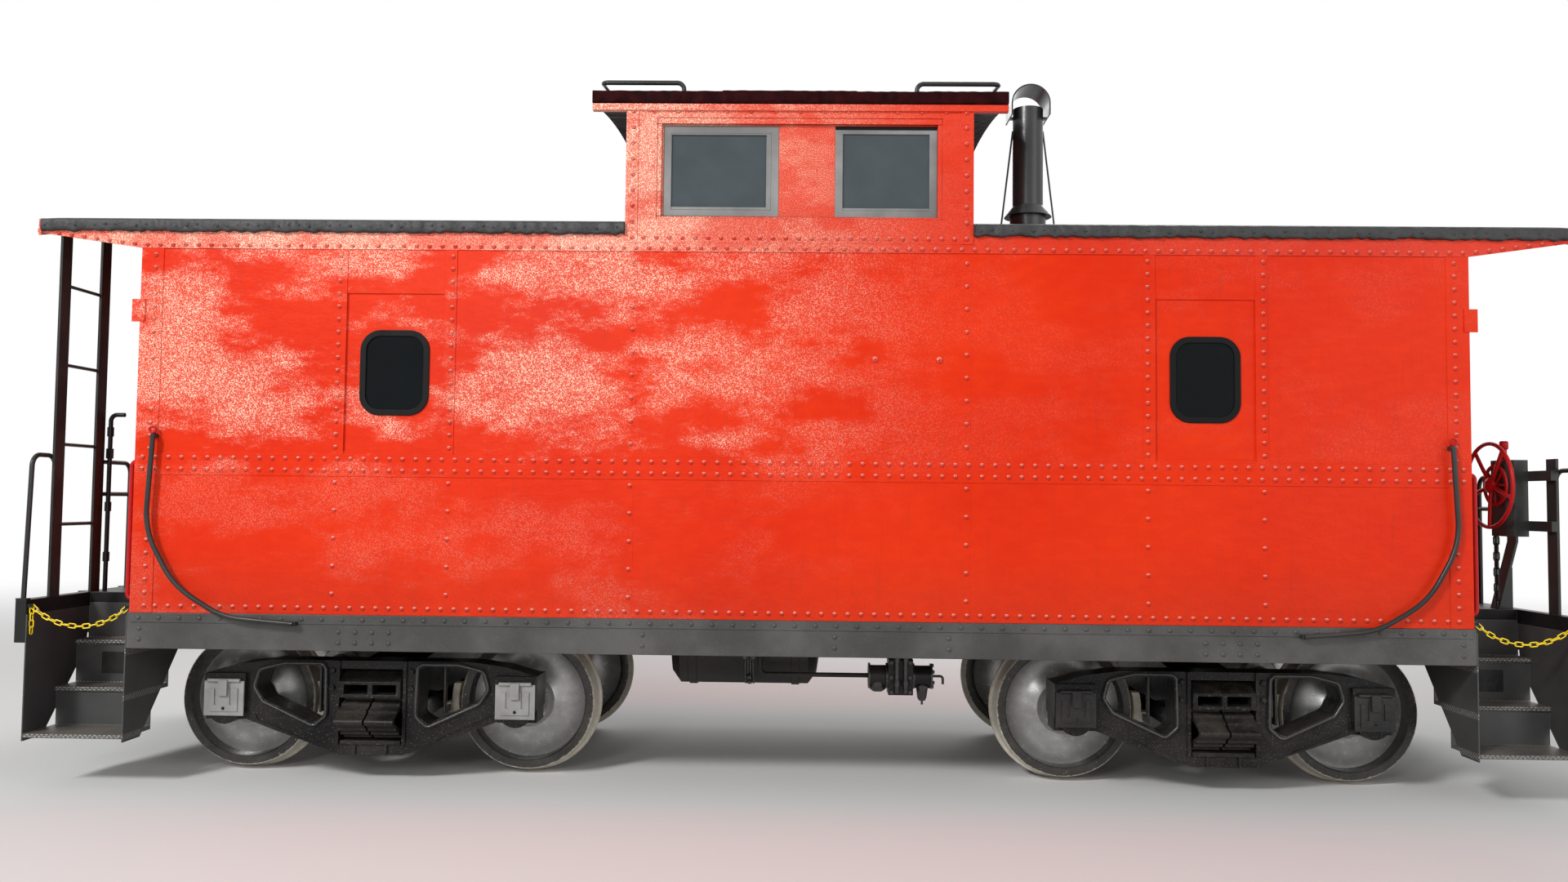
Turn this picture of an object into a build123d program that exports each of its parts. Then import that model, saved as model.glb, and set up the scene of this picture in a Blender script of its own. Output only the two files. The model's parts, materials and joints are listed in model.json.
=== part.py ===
from build123d import *
import math
import os

os.makedirs("parts", exist_ok=True)

# A steel caboose with a centre cupola, on two four-wheel trucks with elliptic springs.
# +X runs along the car to the right of its near side, -Y is the near side, +Z is up.
# The origin is under the car's middle, at the lowest point of the wheel flanges.
# The two ends are alike, each the other turned half round about Z.

# Car body
body_half_length = 3836
body_half_width = 1420
eave = 26
platform_length = 604
end_sill_depth = 65
roof_set_back = 15
truck_inset = 1311

# Wheels and axles
tread_radius = 419
flange_height = 26
flange_thickness = 32
tread_taper = 4
tread_run_off = 8
wheel_back = 678
rim_width = 145
rim_depth = 62
wheel_plate = 24
plate_dish = 26
hub_radius = 138
hub_stand_out = 16
plate_flare = 12
hub_taper = 6
wheel_seat_radius = 84
axle_radius = 76
journal_radius = 70
journal_shoulder = 872
journal_end = 1106
journal_gap = 0.3
journal_shoulder_step = 14
wheel_seat_run_in = 6
axle_run_in = 60

# Trucks
wheelbase = 1740
frame_inner = 930
frame_outer = 1130
rim_stand_out = 14
window_rim = 24
window_fillet = 28
box_half_width = 122
box_inner = 884
box_outer = 1148
box_top = 642
box_floor = 366
box_wall = 24
journal_end_play = 2
box_hollow = (36, 72)
belly_radius = 104
lid_size = (236, 204)
lid_thickness = 12
lid_relief = 7
lid_centre_z = 494
lid_panel_half = 84
lid_panel_edges = (26, 44)
lid_slot = (46, 18, 64)
lid_lug = (52, 24, 84, 10)
lid_hinge = (192, 11, 4)
column_inner = 190
column_edge = 20
belly_rib = 16
chord_dish = 8
column_top = 672
column_outer = 262
frame_bottom = 165
frame_top = 720
seat_z = 226
seat_thickness = 24
bolster_width = 366
bolster_end_y = 1152
bolster_end_z = (506, 600)
bolster_shoulder_y = 1060
bolster_shoulder_z = 656
bolster_middle_z = (430, 706)
bolster_knee_y = 720
bolster_flat_half = 360
bolster_hole = (140, 56)
bolster_hole_depth = 400
bolster_hole_inset = 6
bolster_hole_floor = 20
fit_gap = 0.3
leaf_width = 168
leaf_gap = 14
leaf_thickness = 13
leaf_count = 4
leaf_step = 52
spring_half_length = 262
spring_centre_y = 974
eye_radius = 19
spring_band_half = 34
spring_band_wall = 6
plank_flange = 60
plank_sheet = 6
plank_gap = 8
centre_plate_radius = 165
centre_plate_height = 24
king_pin_radius = 24
king_pin_engaged = 236
shoe_gap = 12
shoe_thickness = 46
shoe_width = 84
shoe_length = 300
shoe_height = 400
beam_depth = 60
hanger_width = 40
hanger_thickness = 16
hanger_top = 712

# Underframe
sill_bottom = 815
sill_top = 1021
sill_web = 10
sill_flange = 76
centre_sill_half = 165
centre_sill_bottom = 756
centre_sill_web = 12
centre_sill_flange = 82
cover_plate_half = 260
cover_plate = 14
cross_bearer_x = (-885, 225, 885)
cross_bearer_depth = 180
cross_bearer_width = 130
body_bolster_width = 300
floor_top = 1085
floor_thickness = 50

# Body shell
wall = 60
fascia_seam = 3140
fascia_plate = 8
fascia_reach = 621
fascia_tip_depth = 22
strip_plate = 5
belt_z = (1817, 1945)
end_strip_width = 131
window_inset = 1499
window_size = (404, 497)
window_centre_z = 2421
window_corner = 118
window_frame_width = 36
window_frame_proud = 10
panel_half_width = 285
panel_z = (1961, 2883)
panel_recess = 10
post_strip_width = 70
glass_thickness = 6
glass_gap = 0.3

# Roofs
roof_edge_z = (3250, 3303)
roof_rise = 200
roof_sheet = 34
roof_lip = 40
end_fascia_depth = 96
end_fascia_plate = 15
cupola_half_length = 1009
cupola_bottom = 3191
cupola_roof_half_length = 1210
cupola_edge_z = (4006, 4080)
cupola_rise = 112
cupola_sheet = 38
cupola_recess_half = 829
cupola_recess_z = (3333, 3928)
cupola_recess_depth = 20
cupola_corner_strip = 72
sash_x = ((-793, -120), (207, 802))
sash_z = (3347, 3888)
sash_bar = 46
sash_thickness = 30
cupola_end_window_y = 600
cupola_end_window_size = (620, 300)
cupola_end_window_z = 3780

# Ends
end_sill_bottom = 838
deck_thickness = 40
deck_half_width = 790
deck_beam = (40, 120)
tread_z = (805, 545, 320)
step_gap = 14
tread_reach = (150, 340)
step_side_plate = 8
step_side_top = 1000
step_side_back = (828, 738)
step_side_foot = 184
step_drop = 20
tread_thickness = 24
tread_overlap = 24
door_size = (680, 1930)
door_gap = 5
latch_gap = 9
door_thickness = 44
door_light_inset = 130
door_light_z = (2135, 2785)
door_panel_z = (1230, 2000)
door_panel_depth = 8
knob_radius = 24
knob_reach = 52
knob_inset = 66
knob_depth = 18
knob_stem = 22
knob_z = 2060
hinge_z = (1385, 2685)
hinge_length = 90
hinge_pin_radius = 6
hinge_pin_gap = 0.1
hinge_barrel_radius = 13
hinge_offset = 16
hinge_plate = 6
hinge_plate_width = 60
end_window_y = 900
end_window_size = (420, 620)
end_window_z = 2400

# Ladders, rails and chains, placed for the end at +X
ladder_y = (739, 1157)
ladder_bar = (16, 96)
ladder_drop = 40
rung_radius = 11
first_rung_z = 1516
rung_spacing = 482
rung_count = 4
rail_radius = 14
foot_plate = 8
corner_rail_inset = (20, 52, 270)
corner_rail_z = (1928, 1835)
corner_rail_bend = 70
railing_y = 330
railing_z = (1700, 1906)
side_iron = ((126, 2040), (98, 1500), (276, 1180), (566, 1005), (971, 970))
side_iron_bend = 480
side_iron_gap = 38
foot_radius = 11
end_iron_inset = 48
end_iron_z = (1100, 1890)
end_iron_reach = 40
end_iron_bend = 24
roof_rail_x = (690, 1175)
roof_rail_inset = (146, 396)
roof_rail_height = 72
roof_rail_bend = 40
chain_end_gap = 22
chain_inset = 20
chain_z = 1050
chain_sag = 115
chain_links = 15
link_wire = 7.5
link_width = 31
link_play = 0.6
chain_pin_radius = 4
chain_lug = 10
lug_space = 6
lug_plate = 6
brake_wheel_set_back = 204
brake_wheel_place = (870, 1844)

# Hand brake at the near corner of the +X end
brake_wheel_radius = 267
brake_wheel_rim = 12
brake_spokes = 5
brake_spoke = (34, 12)
brake_hub_radius = 46
brake_shaft_radius = 22
brake_case_set_back = (150, 30)
brake_case_half = 110
brake_case_chamfer = 34
brake_case_z = (1535, 1998)
brake_leg_knee_z = 1500
brake_leg_set_back = 110
brake_gusset = 160
brake_strap_z = (1600, 1900)
brake_strap_height = 60
brake_lever_z = 2090
brake_lever_ball = 22
brake_rod_radius = 9
brake_rod_inset = 20
bracket_overlap = 33
bracket_reach = 43

# Marker brackets
bracket_z = (2706, 2838)
bracket_plate = 8
socket_radius = 10
socket_wall = 6
socket_z = (2730, 2815)
socket_inset = 17

# Smoke jack on the near side of the roof
jack_place = (1440, 760)
jack_radius = 95
jack_wall = 7
jack_base_radius = 112
jack_skirt_z = (3508, 3576)
jack_skirt_radius = 148
jack_top = 4197
hood_centre_z = 4205
hood_radius = 122
hood_sheet = 9
hood_length = 240
hood_leg = 70
hood_stirrup = (40, 12)
stay_radius = 6
stay_top = 4060
stay_spread = 90
jack_cut_half = 600

# Couplers
coupler_z = 902
coupler_reach = 375
head_length = 280
shank_half = (65, 80)
shank_length = 300
head_half_height = 140
knuckle_half_height = 112
knuckle_slot = (90, -190, -30)
knuckle_pin = (128, 112)
knuckle_pin_radius = 20
knuckle_pin_stand_out = 14
striker_thickness = 25
striker_half = 190
striker_gap = 14
carrier_length = 60
draft_length = 120
lever_reach = 46
lever_y = (60, 1250)
lever_z = 1010
lever_handle = 150
lever_radius = 11
lever_bend = 20
lever_brackets_y = (290, 620, 1180)

# Brake gear under the floor
reservoir_x = (-790, 150)
reservoir_y = 620
reservoir_z = 735
reservoir_radius = 184
reservoir_dome = 70
strap_width = 50
strap_thickness = 8
strap_inset = 150
train_pipe_y = 280
train_pipe_z = 800
train_pipe_radius = 21
train_pipe_crossing = 90
train_pipe_bend = 110
pipe_hole_gap = 0.3
angle_cock_reach = 95
cock_size = 64
cylinder_x = (330, 760)
cylinder_y = 640
cylinder_z = 700
cylinder_radius = 135
cylinder_flange = 18
push_rod_length = 120
push_rod_radius = 16
push_rod_bend = 40
valve_x = 640
valve_y = 900
valve_z = (537, 752)
valve_body = 150
valve_port_radius = 64
valve_port_length = 120
valve_pipe_x = -215
valve_pipe_radius = 14
platform_pipe_z = 2210
platform_pipe_gap = 36
platform_pipe_radius = 14
platform_pipe_elbow = 90
platform_pipe_bend = 40
platform_cock_z = 1960

# Places that follow from the sizes above
half_base = wheelbase / 2
axle_height = tread_radius + flange_height
wheel_face = wheel_back + rim_width
flange_radius = tread_radius + flange_height
truck_centres = 2 * (body_half_length - truck_inset)
sill_face = body_half_width
platform_x = body_half_length + platform_length
end_sill_x = platform_x + end_sill_depth
roof_half_width = body_half_width + eave
roof_half_length = platform_x - roof_set_back
fascia_tip_x = body_half_length + fascia_reach
window_x = body_half_length - window_inset
step_x = (body_half_length + step_gap, platform_x)
nosing_y = (deck_half_width + tread_reach[0], deck_half_width + tread_reach[1], body_half_width)
corner_rail_y = [body_half_width - inset for inset in corner_rail_inset]
end_iron_y = body_half_width - end_iron_inset
roof_rail_y = [roof_half_width - inset for inset in roof_rail_inset]
chain_ends_x = (body_half_length + chain_end_gap, platform_x - chain_end_gap)
chain_y = body_half_width - chain_inset
brake_wheel_centre = (platform_x - brake_wheel_set_back, -brake_wheel_place[0], brake_wheel_place[1])
brake_case_x = (platform_x - brake_case_set_back[0], platform_x - brake_case_set_back[1])
brake_leg_foot_x = platform_x - brake_leg_set_back
brake_lever = (brake_leg_foot_x, brake_lever_z)
brake_rod = (brake_leg_foot_x, brake_rod_inset - deck_half_width)
bracket_x = (body_half_length - bracket_overlap, body_half_length + bracket_reach)
bracket_y = body_half_width + strip_plate
socket_x = bracket_x[1] - socket_inset
coupler_face = end_sill_x + coupler_reach
shank_inner = end_sill_x - shank_length
angle_cock_x = end_sill_x + angle_cock_reach


def block(x, y, z, mode=Mode.ADD):
    """Add a box to the open part from its low and high ends along each axis."""
    with Locations(((x[0] + x[1]) / 2, (y[0] + y[1]) / 2, (z[0] + z[1]) / 2)):
        Box(x[1] - x[0], y[1] - y[0], z[1] - z[0], mode=mode)


def bar(start, direction, radius, length, mode=Mode.ADD):
    """Add a round bar to the open part from its start point along a direction."""
    with Locations(Plane(origin=start, z_dir=direction)):
        Cylinder(radius, length, align=(Align.CENTER, Align.CENTER, Align.MIN), mode=mode)


def prism(plane, points, thickness):
    """Return a flat piece with straight edges, raised from a plane."""
    with BuildPart() as piece:
        with BuildSketch(plane):
            with BuildLine():
                Polyline(*points, close=True)
            make_face()
        extrude(amount=thickness)
    return piece.part


def rod(points, radius, bend):
    """Return a bent rod of six-sided section that follows the points with one bend radius."""
    with BuildPart() as piece:
        with BuildLine():
            path = FilletPolyline(*points, radius=bend) if bend else Polyline(*points)
        with BuildSketch(Plane(origin=path @ 0, z_dir=path % 0)):
            RegularPolygon(radius, 6)
        sweep(path=path, transition=Transition.RIGHT)
    return piece.part


def mirrored(points):
    """Return a half outline followed by its mirror image, as one closed outline."""
    return points + [(-x, z) for x, z in reversed(points) if x > 0]


def both_ends(unit):
    """Add a unit made for the +X end, and again turned half round for the -X end."""
    with PolarLocations(0, 2):
        add(unit)


def four_corners(unit):
    """Add a unit made for the near +X corner at all four corners."""
    other = unit.mirror(Plane.XZ)
    with PolarLocations(0, 2):
        add(unit)
        add(other)


def arc_height(y, half_width, edge, rise):
    """Return the height of an arch at a distance from its middle."""
    radius = (half_width**2 + rise**2) / (2 * rise)
    return edge + rise - radius + math.sqrt(radius**2 - y**2)


def finish(piece, name):
    """Label a finished piece and write it."""
    piece.part.label = name
    export_step(piece.part, f"parts/{name}.step")


# Wheelsets: two pressed-on wheels and their axle
rim_bore = tread_radius - rim_depth
plate_y = wheel_back + rim_width / 2
wheel_outline = [
    (wheel_seat_radius, wheel_back - hub_stand_out),
    (hub_radius, wheel_back - hub_stand_out),
    (rim_bore, plate_y - plate_dish - wheel_plate / 2),
    (rim_bore, wheel_back),
    (flange_radius, wheel_back),
    (flange_radius, wheel_back + flange_thickness / 2),
    (tread_radius + tread_taper, wheel_back + flange_thickness),
    (tread_radius - tread_run_off, wheel_face),
    (rim_bore, wheel_face),
    (rim_bore - plate_flare, plate_y - plate_dish + wheel_plate / 2),
    (hub_radius + plate_flare, plate_y + plate_dish + wheel_plate / 2),
    (hub_radius - hub_taper, wheel_face + hub_stand_out),
    (wheel_seat_radius, wheel_face + hub_stand_out),
]

with BuildPart() as wheel_pair:
    with BuildSketch(Plane.XY):
        with BuildLine():
            Polyline(*wheel_outline, close=True)
        make_face()
    revolve(axis=Axis.Y)
    mirror(about=Plane.XZ)

axle_half = [
    (0, journal_end),
    (journal_radius, journal_end),
    (journal_radius, journal_shoulder),
    (wheel_seat_radius, journal_shoulder - journal_shoulder_step),
    (wheel_seat_radius, wheel_back - hub_stand_out - wheel_seat_run_in),
    (axle_radius, wheel_back - axle_run_in),
]
with BuildPart() as axle:
    with BuildSketch(Plane.XY):
        with BuildLine():
            Polyline(*axle_half, *[(r, -y) for r, y in reversed(axle_half)], close=True)
        make_face()
    revolve(axis=Axis.Y)

# Columns: number, truck centre, offset from it
axle_places = (
    (1, -truck_centres / 2, -half_base),
    (2, -truck_centres / 2, half_base),
    (3, truck_centres / 2, -half_base),
    (4, truck_centres / 2, half_base),
)
for number, centre, shift in axle_places:
    with BuildPart() as wheels_here:
        with Locations((centre + shift, 0, axle_height)):
            add(wheel_pair.part)
    finish(wheels_here, f"wheels_{number}")
    with BuildPart() as axle_here:
        with Locations((centre + shift, 0, axle_height)):
            add(axle.part)
    finish(axle_here, f"axle_{number}")

# Truck sideframe, made for the near side about the truck's centre: one casting with a triangular
# window between each journal box and the columns that guide the bolster
web_face = frame_outer - rim_stand_out
outline_half = [
    (0, frame_bottom),
    (185, frame_bottom),
    (400, 242),
    (570, 300),
    (half_base - box_half_width, box_floor),
    (half_base + box_half_width, box_floor),
    (half_base + box_half_width, box_top),
    (half_base - 70, 694),
    (600, frame_top),
    (0, frame_top),
]
window_half = [
    (column_outer + 26, 692),
    (520, 692),
    (664, 656),
    (690, 560),
    (640, 486),
    (350, 352),
    (column_outer + 18, 400),
]
# Top of each member between the windows, where the casting is dished between its edges
chord_dish_half = [
    (half_base - 190, frame_bottom + 196),
    (half_base - 170, frame_bottom + 232),
    (half_base - 430, frame_bottom + 118),
    (half_base - 480, frame_bottom + 84),
]


def window_sketch(side, grow):
    """Return one window of the sideframe, made larger all round by an amount."""
    with BuildSketch(Plane.XZ) as window:
        with BuildLine():
            Polyline(*[(side * x, z) for x, z in window_half], close=True)
        make_face()
        fillet(window.vertices(), radius=window_fillet)
        if grow:
            offset(amount=grow)
    return window.sketch


with BuildPart() as sideframe:
    add(prism(Plane.XZ.offset(frame_inner), mirrored(outline_half), web_face - frame_inner))
    for side in (1, -1):
        with BuildSketch(Plane.XZ.offset(web_face)):
            add(window_sketch(side, window_rim))
        extrude(amount=rim_stand_out)
        with BuildSketch(Plane.XZ.offset(frame_inner)):
            add(window_sketch(side, 0))
        extrude(amount=frame_outer - frame_inner, mode=Mode.SUBTRACT)
        block(
            sorted((side * column_inner, side * (column_inner + column_edge))),
            (-frame_outer, -web_face),
            (seat_z, frame_top),
        )
        block(
            sorted((side * (column_inner - belly_rib) / 2, side * (column_inner + belly_rib) / 2)),
            (-frame_outer, -web_face),
            (frame_bottom, seat_z),
        )
        add(
            prism(
                Plane.XZ.offset(web_face - chord_dish),
                [(side * x, z) for x, z in chord_dish_half],
                chord_dish,
            ),
            mode=Mode.SUBTRACT,
        )
        block(
            (side * half_base - box_half_width, side * half_base + box_half_width),
            (-box_outer, -box_inner),
            (axle_height, box_top),
        )
        bar((side * half_base, -box_inner, axle_height), (0, -1, 0), belly_radius, box_outer - box_inner)
        bar(
            (side * half_base, -box_inner, axle_height),
            (0, -1, 0),
            journal_radius + journal_gap,
            journal_end + journal_end_play - box_inner,
            mode=Mode.SUBTRACT,
        )
        block(
            (side * half_base - box_half_width + box_wall, side * half_base + box_half_width - box_wall),
            (-box_outer, -journal_end - journal_end_play),
            (axle_height - box_hollow[0], box_top - box_hollow[1]),
            mode=Mode.SUBTRACT,
        )
    block(
        (-column_inner, column_inner),
        (-frame_outer, -frame_inner),
        (seat_z, column_top),
        mode=Mode.SUBTRACT,
    )

# Journal box lids: a pressed plate with a raised panel, two slots in it and a hinge along the top
with BuildPart() as lid:
    for side in (1, -1):
        middle = side * half_base
        low = lid_centre_z - lid_size[1] / 2
        high = lid_centre_z + lid_size[1] / 2
        face = -box_outer - lid_thickness
        block((middle - lid_size[0] / 2, middle + lid_size[0] / 2), (face, -box_outer), (low, high))
        block(
            (middle - lid_panel_half, middle + lid_panel_half),
            (face - lid_relief, face),
            (low + lid_panel_edges[0], high - lid_panel_edges[1]),
        )
        for slot in (-lid_slot[0], lid_slot[0]):
            block(
                (middle + slot - lid_slot[1] / 2, middle + slot + lid_slot[1] / 2),
                (face - lid_relief, face),
                (low + lid_slot[2], high - lid_panel_edges[1]),
                mode=Mode.SUBTRACT,
            )
        block(
            (middle - lid_lug[0] / 2, middle + lid_lug[0] / 2),
            (face - lid_lug[1], face),
            (high - lid_lug[2], high + lid_lug[3]),
        )
        bar(
            (middle - lid_hinge[0] / 2, face - lid_hinge[2], high + lid_hinge[2]),
            (1, 0, 0),
            lid_hinge[1],
            lid_hinge[0],
        )

# Truck bolster: a casting that stands between the columns, hollow at its ends
bolster_half = [
    (bolster_end_y, bolster_end_z[0]),
    (bolster_end_y, bolster_end_z[1]),
    (bolster_shoulder_y, bolster_shoulder_z),
    (bolster_flat_half, bolster_middle_z[1]),
]
bolster_under = [
    (bolster_flat_half, bolster_middle_z[0]),
    (bolster_knee_y, bolster_end_z[0]),
]
with BuildPart() as bolster:
    add(
        prism(
            Plane.YZ.offset(-bolster_width / 2),
            bolster_under + bolster_half + [(-y, z) for y, z in reversed(bolster_under + bolster_half)],
            bolster_width,
        )
    )
    bar((0, 0, bolster_middle_z[1]), (0, 0, 1), centre_plate_radius, centre_plate_height)
    for side_x in (-1, 1):
        for side_y in (-1, 1):
            middle = side_x * (bolster_width / 4 - bolster_hole_inset)
            low = bolster_end_z[0] + bolster_hole_floor
            block(
                (middle - bolster_hole[0] / 2, middle + bolster_hole[0] / 2),
                sorted((side_y * bolster_end_y, side_y * (bolster_end_y - bolster_hole_depth))),
                (low, low + bolster_hole[1]),
                mode=Mode.SUBTRACT,
            )
    bar(
        (0, 0, bolster_middle_z[0]),
        (0, 0, 1),
        king_pin_radius + fit_gap,
        bolster_middle_z[1] + centre_plate_height - bolster_middle_z[0],
        mode=Mode.SUBTRACT,
    )

# Spring plank: the flanged cross plate that the springs stand on
spring_inner_y = spring_centre_y - spring_half_length - 2 * eye_radius
plank_half = column_inner - plank_gap
with BuildPart() as spring_plank:
    block(
        (-plank_half, plank_half),
        (-frame_outer, frame_outer),
        (seat_z, seat_z + seat_thickness),
    )
    for side in (-1, 1):
        block(
            sorted((side * plank_half, side * (plank_half - plank_sheet))),
            (-spring_inner_y, spring_inner_y),
            (seat_z + seat_thickness, seat_z + seat_thickness + plank_flange),
        )

# Full elliptic springs, each two stacks of leaves joined at rolled eyes
spring_floor = seat_z + seat_thickness
spring_top = bolster_end_z[0]
spring_middle = (spring_floor + spring_top) / 2
stack = leaf_count * leaf_thickness
leaf_rise = (spring_top - spring_floor) / 2 - stack
leaf_radius = (spring_half_length**2 + leaf_rise**2) / (2 * leaf_rise)

with BuildPart() as spring:
    for number in range(leaf_count):
        reach = spring_half_length - leaf_step * number
        inner = leaf_radius + leaf_thickness * number
        with BuildSketch(Plane.YZ.offset(-leaf_width / 2)):
            with Locations((0, leaf_rise - leaf_radius)):
                Circle(inner + leaf_thickness)
                Circle(inner, mode=Mode.SUBTRACT)
            with Locations((0, stack + leaf_rise)):
                Rectangle(2 * reach, 2 * (stack + leaf_rise), mode=Mode.INTERSECT)
        extrude(amount=leaf_width)
    mirror(about=Plane.XY)
    for side in (-1, 1):
        bar((-leaf_width / 2, side * spring_half_length, 0), (1, 0, 0), eye_radius, leaf_width)
    band_half = leaf_width / 2 + spring_band_wall
    for side in (-1, 1):
        block(
            (-band_half, band_half),
            (-spring_band_half, spring_band_half),
            sorted((side * (leaf_rise - spring_band_wall), side * (leaf_rise + stack))),
        )

with BuildPart() as springs:
    for side_x in (-1, 1):
        for side_y in (-1, 1):
            with Locations((side_x * (leaf_width + leaf_gap) / 2, side_y * spring_centre_y, spring_middle)):
                add(spring.part)

# Brake beams with their heads, shoes and hangers, one beam beside each axle
shoe_face = tread_radius + shoe_gap
beam_x = half_base - flange_radius - shoe_gap - beam_depth / 2
shoe_inner_y = wheel_back + flange_thickness + shoe_gap
shoe_outer_y = shoe_inner_y + shoe_width

with BuildPart() as brakes:
    for side in (-1, 1):
        with BuildSketch(Plane.XZ.offset(shoe_inner_y)):
            with Locations((side * half_base, axle_height)):
                Circle(shoe_face + shoe_thickness)
                Circle(shoe_face, mode=Mode.SUBTRACT)
            with Locations((side * (half_base - shoe_face - shoe_thickness / 2), shoe_height)):
                Rectangle(2 * shoe_thickness, shoe_length, mode=Mode.INTERSECT)
        extrude(amount=shoe_width)
        block(
            (side * beam_x - beam_depth / 2, side * beam_x + beam_depth / 2),
            (-shoe_outer_y, 0),
            (shoe_height - beam_depth / 2, shoe_height + beam_depth / 2),
        )
        block(
            (side * beam_x - hanger_thickness / 2, side * beam_x + hanger_thickness / 2),
            (-frame_inner, -shoe_outer_y),
            (shoe_height - hanger_width / 2, shoe_height + hanger_width / 2),
        )
        block(
            (side * beam_x - hanger_thickness / 2, side * beam_x + hanger_thickness / 2),
            (-frame_inner, -frame_inner + hanger_width),
            (shoe_height - hanger_width / 2, hanger_top),
        )
    mirror(about=Plane.XZ)

for letter, centre in (("a", -truck_centres / 2), ("b", truck_centres / 2)):
    with BuildPart() as frames_here:
        with Locations((centre, 0, 0)):
            add(sideframe.part)
            add(sideframe.part.mirror(Plane.XZ))
    finish(frames_here, f"truck_{letter}_sideframes")
    with BuildPart() as lids_here:
        with Locations((centre, 0, 0)):
            add(lid.part)
            add(lid.part.mirror(Plane.XZ))
    finish(lids_here, f"truck_{letter}_journal_lids")
    # Columns: name of the piece, the piece
    middle_pieces = (
        ("bolster", bolster),
        ("spring_plank", spring_plank),
        ("leaf_springs", springs),
        ("brake_beams", brakes),
    )
    for piece_name, piece in middle_pieces:
        with BuildPart() as piece_here:
            with Locations((centre, 0, 0)):
                add(piece.part)
        finish(piece_here, f"truck_{letter}_{piece_name}")

# Underframe: centre sill, side sills and the members between them
sill_end = end_sill_x - 20
bearing_z = bolster_middle_z[1] + centre_plate_height + fit_gap
pipe_hole_radius = train_pipe_radius + pipe_hole_gap

with BuildPart() as centre_sill:
    block((-sill_end, sill_end), (-cover_plate_half, cover_plate_half), (sill_top - cover_plate, sill_top))
    for side in (-1, 1):
        block(
            (-sill_end, sill_end),
            sorted((side * centre_sill_half, side * (centre_sill_half - centre_sill_web))),
            (centre_sill_bottom, sill_top - cover_plate),
        )
        block(
            (-sill_end, sill_end),
            sorted((side * centre_sill_half, side * (centre_sill_half - centre_sill_flange))),
            (centre_sill_bottom, centre_sill_bottom + centre_sill_web),
        )
    bar(
        (train_pipe_crossing, -centre_sill_half - centre_sill_web, train_pipe_z),
        (0, 1, 0),
        pipe_hole_radius,
        2 * (centre_sill_half + centre_sill_web),
        mode=Mode.SUBTRACT,
    )
    for side in (-1, 1):
        # Carrier under the coupler's shank, draft gear behind it, striker round it
        web_inner = centre_sill_half - centre_sill_web
        block(
            sorted((side * sill_end, side * (sill_end - carrier_length))),
            (-web_inner, web_inner),
            (centre_sill_bottom + centre_sill_web, coupler_z - shank_half[1]),
        )
        block(
            sorted((side * shank_inner, side * (shank_inner - draft_length))),
            (-web_inner, web_inner),
            (centre_sill_bottom + centre_sill_web, sill_top - cover_plate),
        )
        block(
            sorted((side * sill_end, side * (sill_end + striker_gap + striker_thickness))),
            (-striker_half, striker_half),
            (centre_sill_bottom, sill_top),
        )
        block(
            sorted((side * sill_end, side * (sill_end + striker_gap + striker_thickness))),
            (-shank_half[0] - striker_gap, shank_half[0] + striker_gap),
            (coupler_z - shank_half[1], coupler_z + shank_half[1] + striker_gap),
            mode=Mode.SUBTRACT,
        )
finish(centre_sill, "centre_sill")

with BuildPart() as side_sills:
    sill_x = (-step_x[0], step_x[0])
    flange_y = (-sill_face, -sill_face + sill_flange)
    block(sill_x, (-sill_face, -sill_face + sill_web), (sill_bottom, sill_top))
    block(sill_x, flange_y, (sill_bottom, sill_bottom + sill_web))
    block(sill_x, flange_y, (sill_top - sill_web, sill_top))
    mirror(about=Plane.XZ)
finish(side_sills, "side_sills")

body_bolster_outline = [
    (-sill_face + sill_web, sill_bottom + sill_web),
    (-sill_face + sill_flange, sill_bottom + sill_web),
    (-centre_sill_half, centre_sill_bottom - cover_plate),
    (-centre_sill_half, sill_top - cover_plate),
    (-sill_face + sill_flange, sill_top - cover_plate),
    (-sill_face + sill_flange, sill_top - sill_web),
    (-sill_face + sill_web, sill_top - sill_web),
]
with BuildPart() as cross_members:
    for centre in (-truck_centres / 2, truck_centres / 2):
        add(prism(Plane.YZ.offset(centre - body_bolster_width / 2), body_bolster_outline, body_bolster_width))
    for centre in cross_bearer_x:
        block(
            (centre - cross_bearer_width / 2, centre + cross_bearer_width / 2),
            (-sill_face + sill_web, -centre_sill_half),
            (sill_top - sill_web - cross_bearer_depth, sill_top - cover_plate),
        )
    mirror(about=Plane.XZ)
    for centre in (-truck_centres / 2, truck_centres / 2):
        block(
            (centre - body_bolster_width / 2, centre + body_bolster_width / 2),
            (-centre_sill_half, centre_sill_half),
            (centre_sill_bottom - cover_plate, centre_sill_bottom),
        )
        bar(
            (centre, 0, bearing_z),
            (0, 0, 1),
            centre_plate_radius,
            centre_sill_bottom - cover_plate - bearing_z,
        )
        bar((centre, 0, bearing_z - king_pin_engaged), (0, 0, 1), king_pin_radius, king_pin_engaged)
        bar(
            (centre - body_bolster_width, -math.copysign(train_pipe_y, centre), train_pipe_z),
            (1, 0, 0),
            pipe_hole_radius,
            2 * body_bolster_width,
            mode=Mode.SUBTRACT,
        )
finish(cross_members, "cross_members")

with BuildPart() as floor:
    block(
        (-body_half_length + wall, body_half_length - wall),
        (-body_half_width + wall, body_half_width - wall),
        (floor_top - floor_thickness, floor_top),
    )
    block(
        (-body_half_length + wall, body_half_length - wall),
        (-cover_plate_half, cover_plate_half),
        (sill_top, floor_top - floor_thickness),
    )
finish(floor, "floor")

# Side walls with their window holes, recessed panels and riveted cover strips
wall_top = roof_edge_z[0]
window_cut = (window_size[0] - window_frame_width, window_size[1] - window_frame_width)
window_cut_corner = window_corner - window_frame_width / 2

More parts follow.
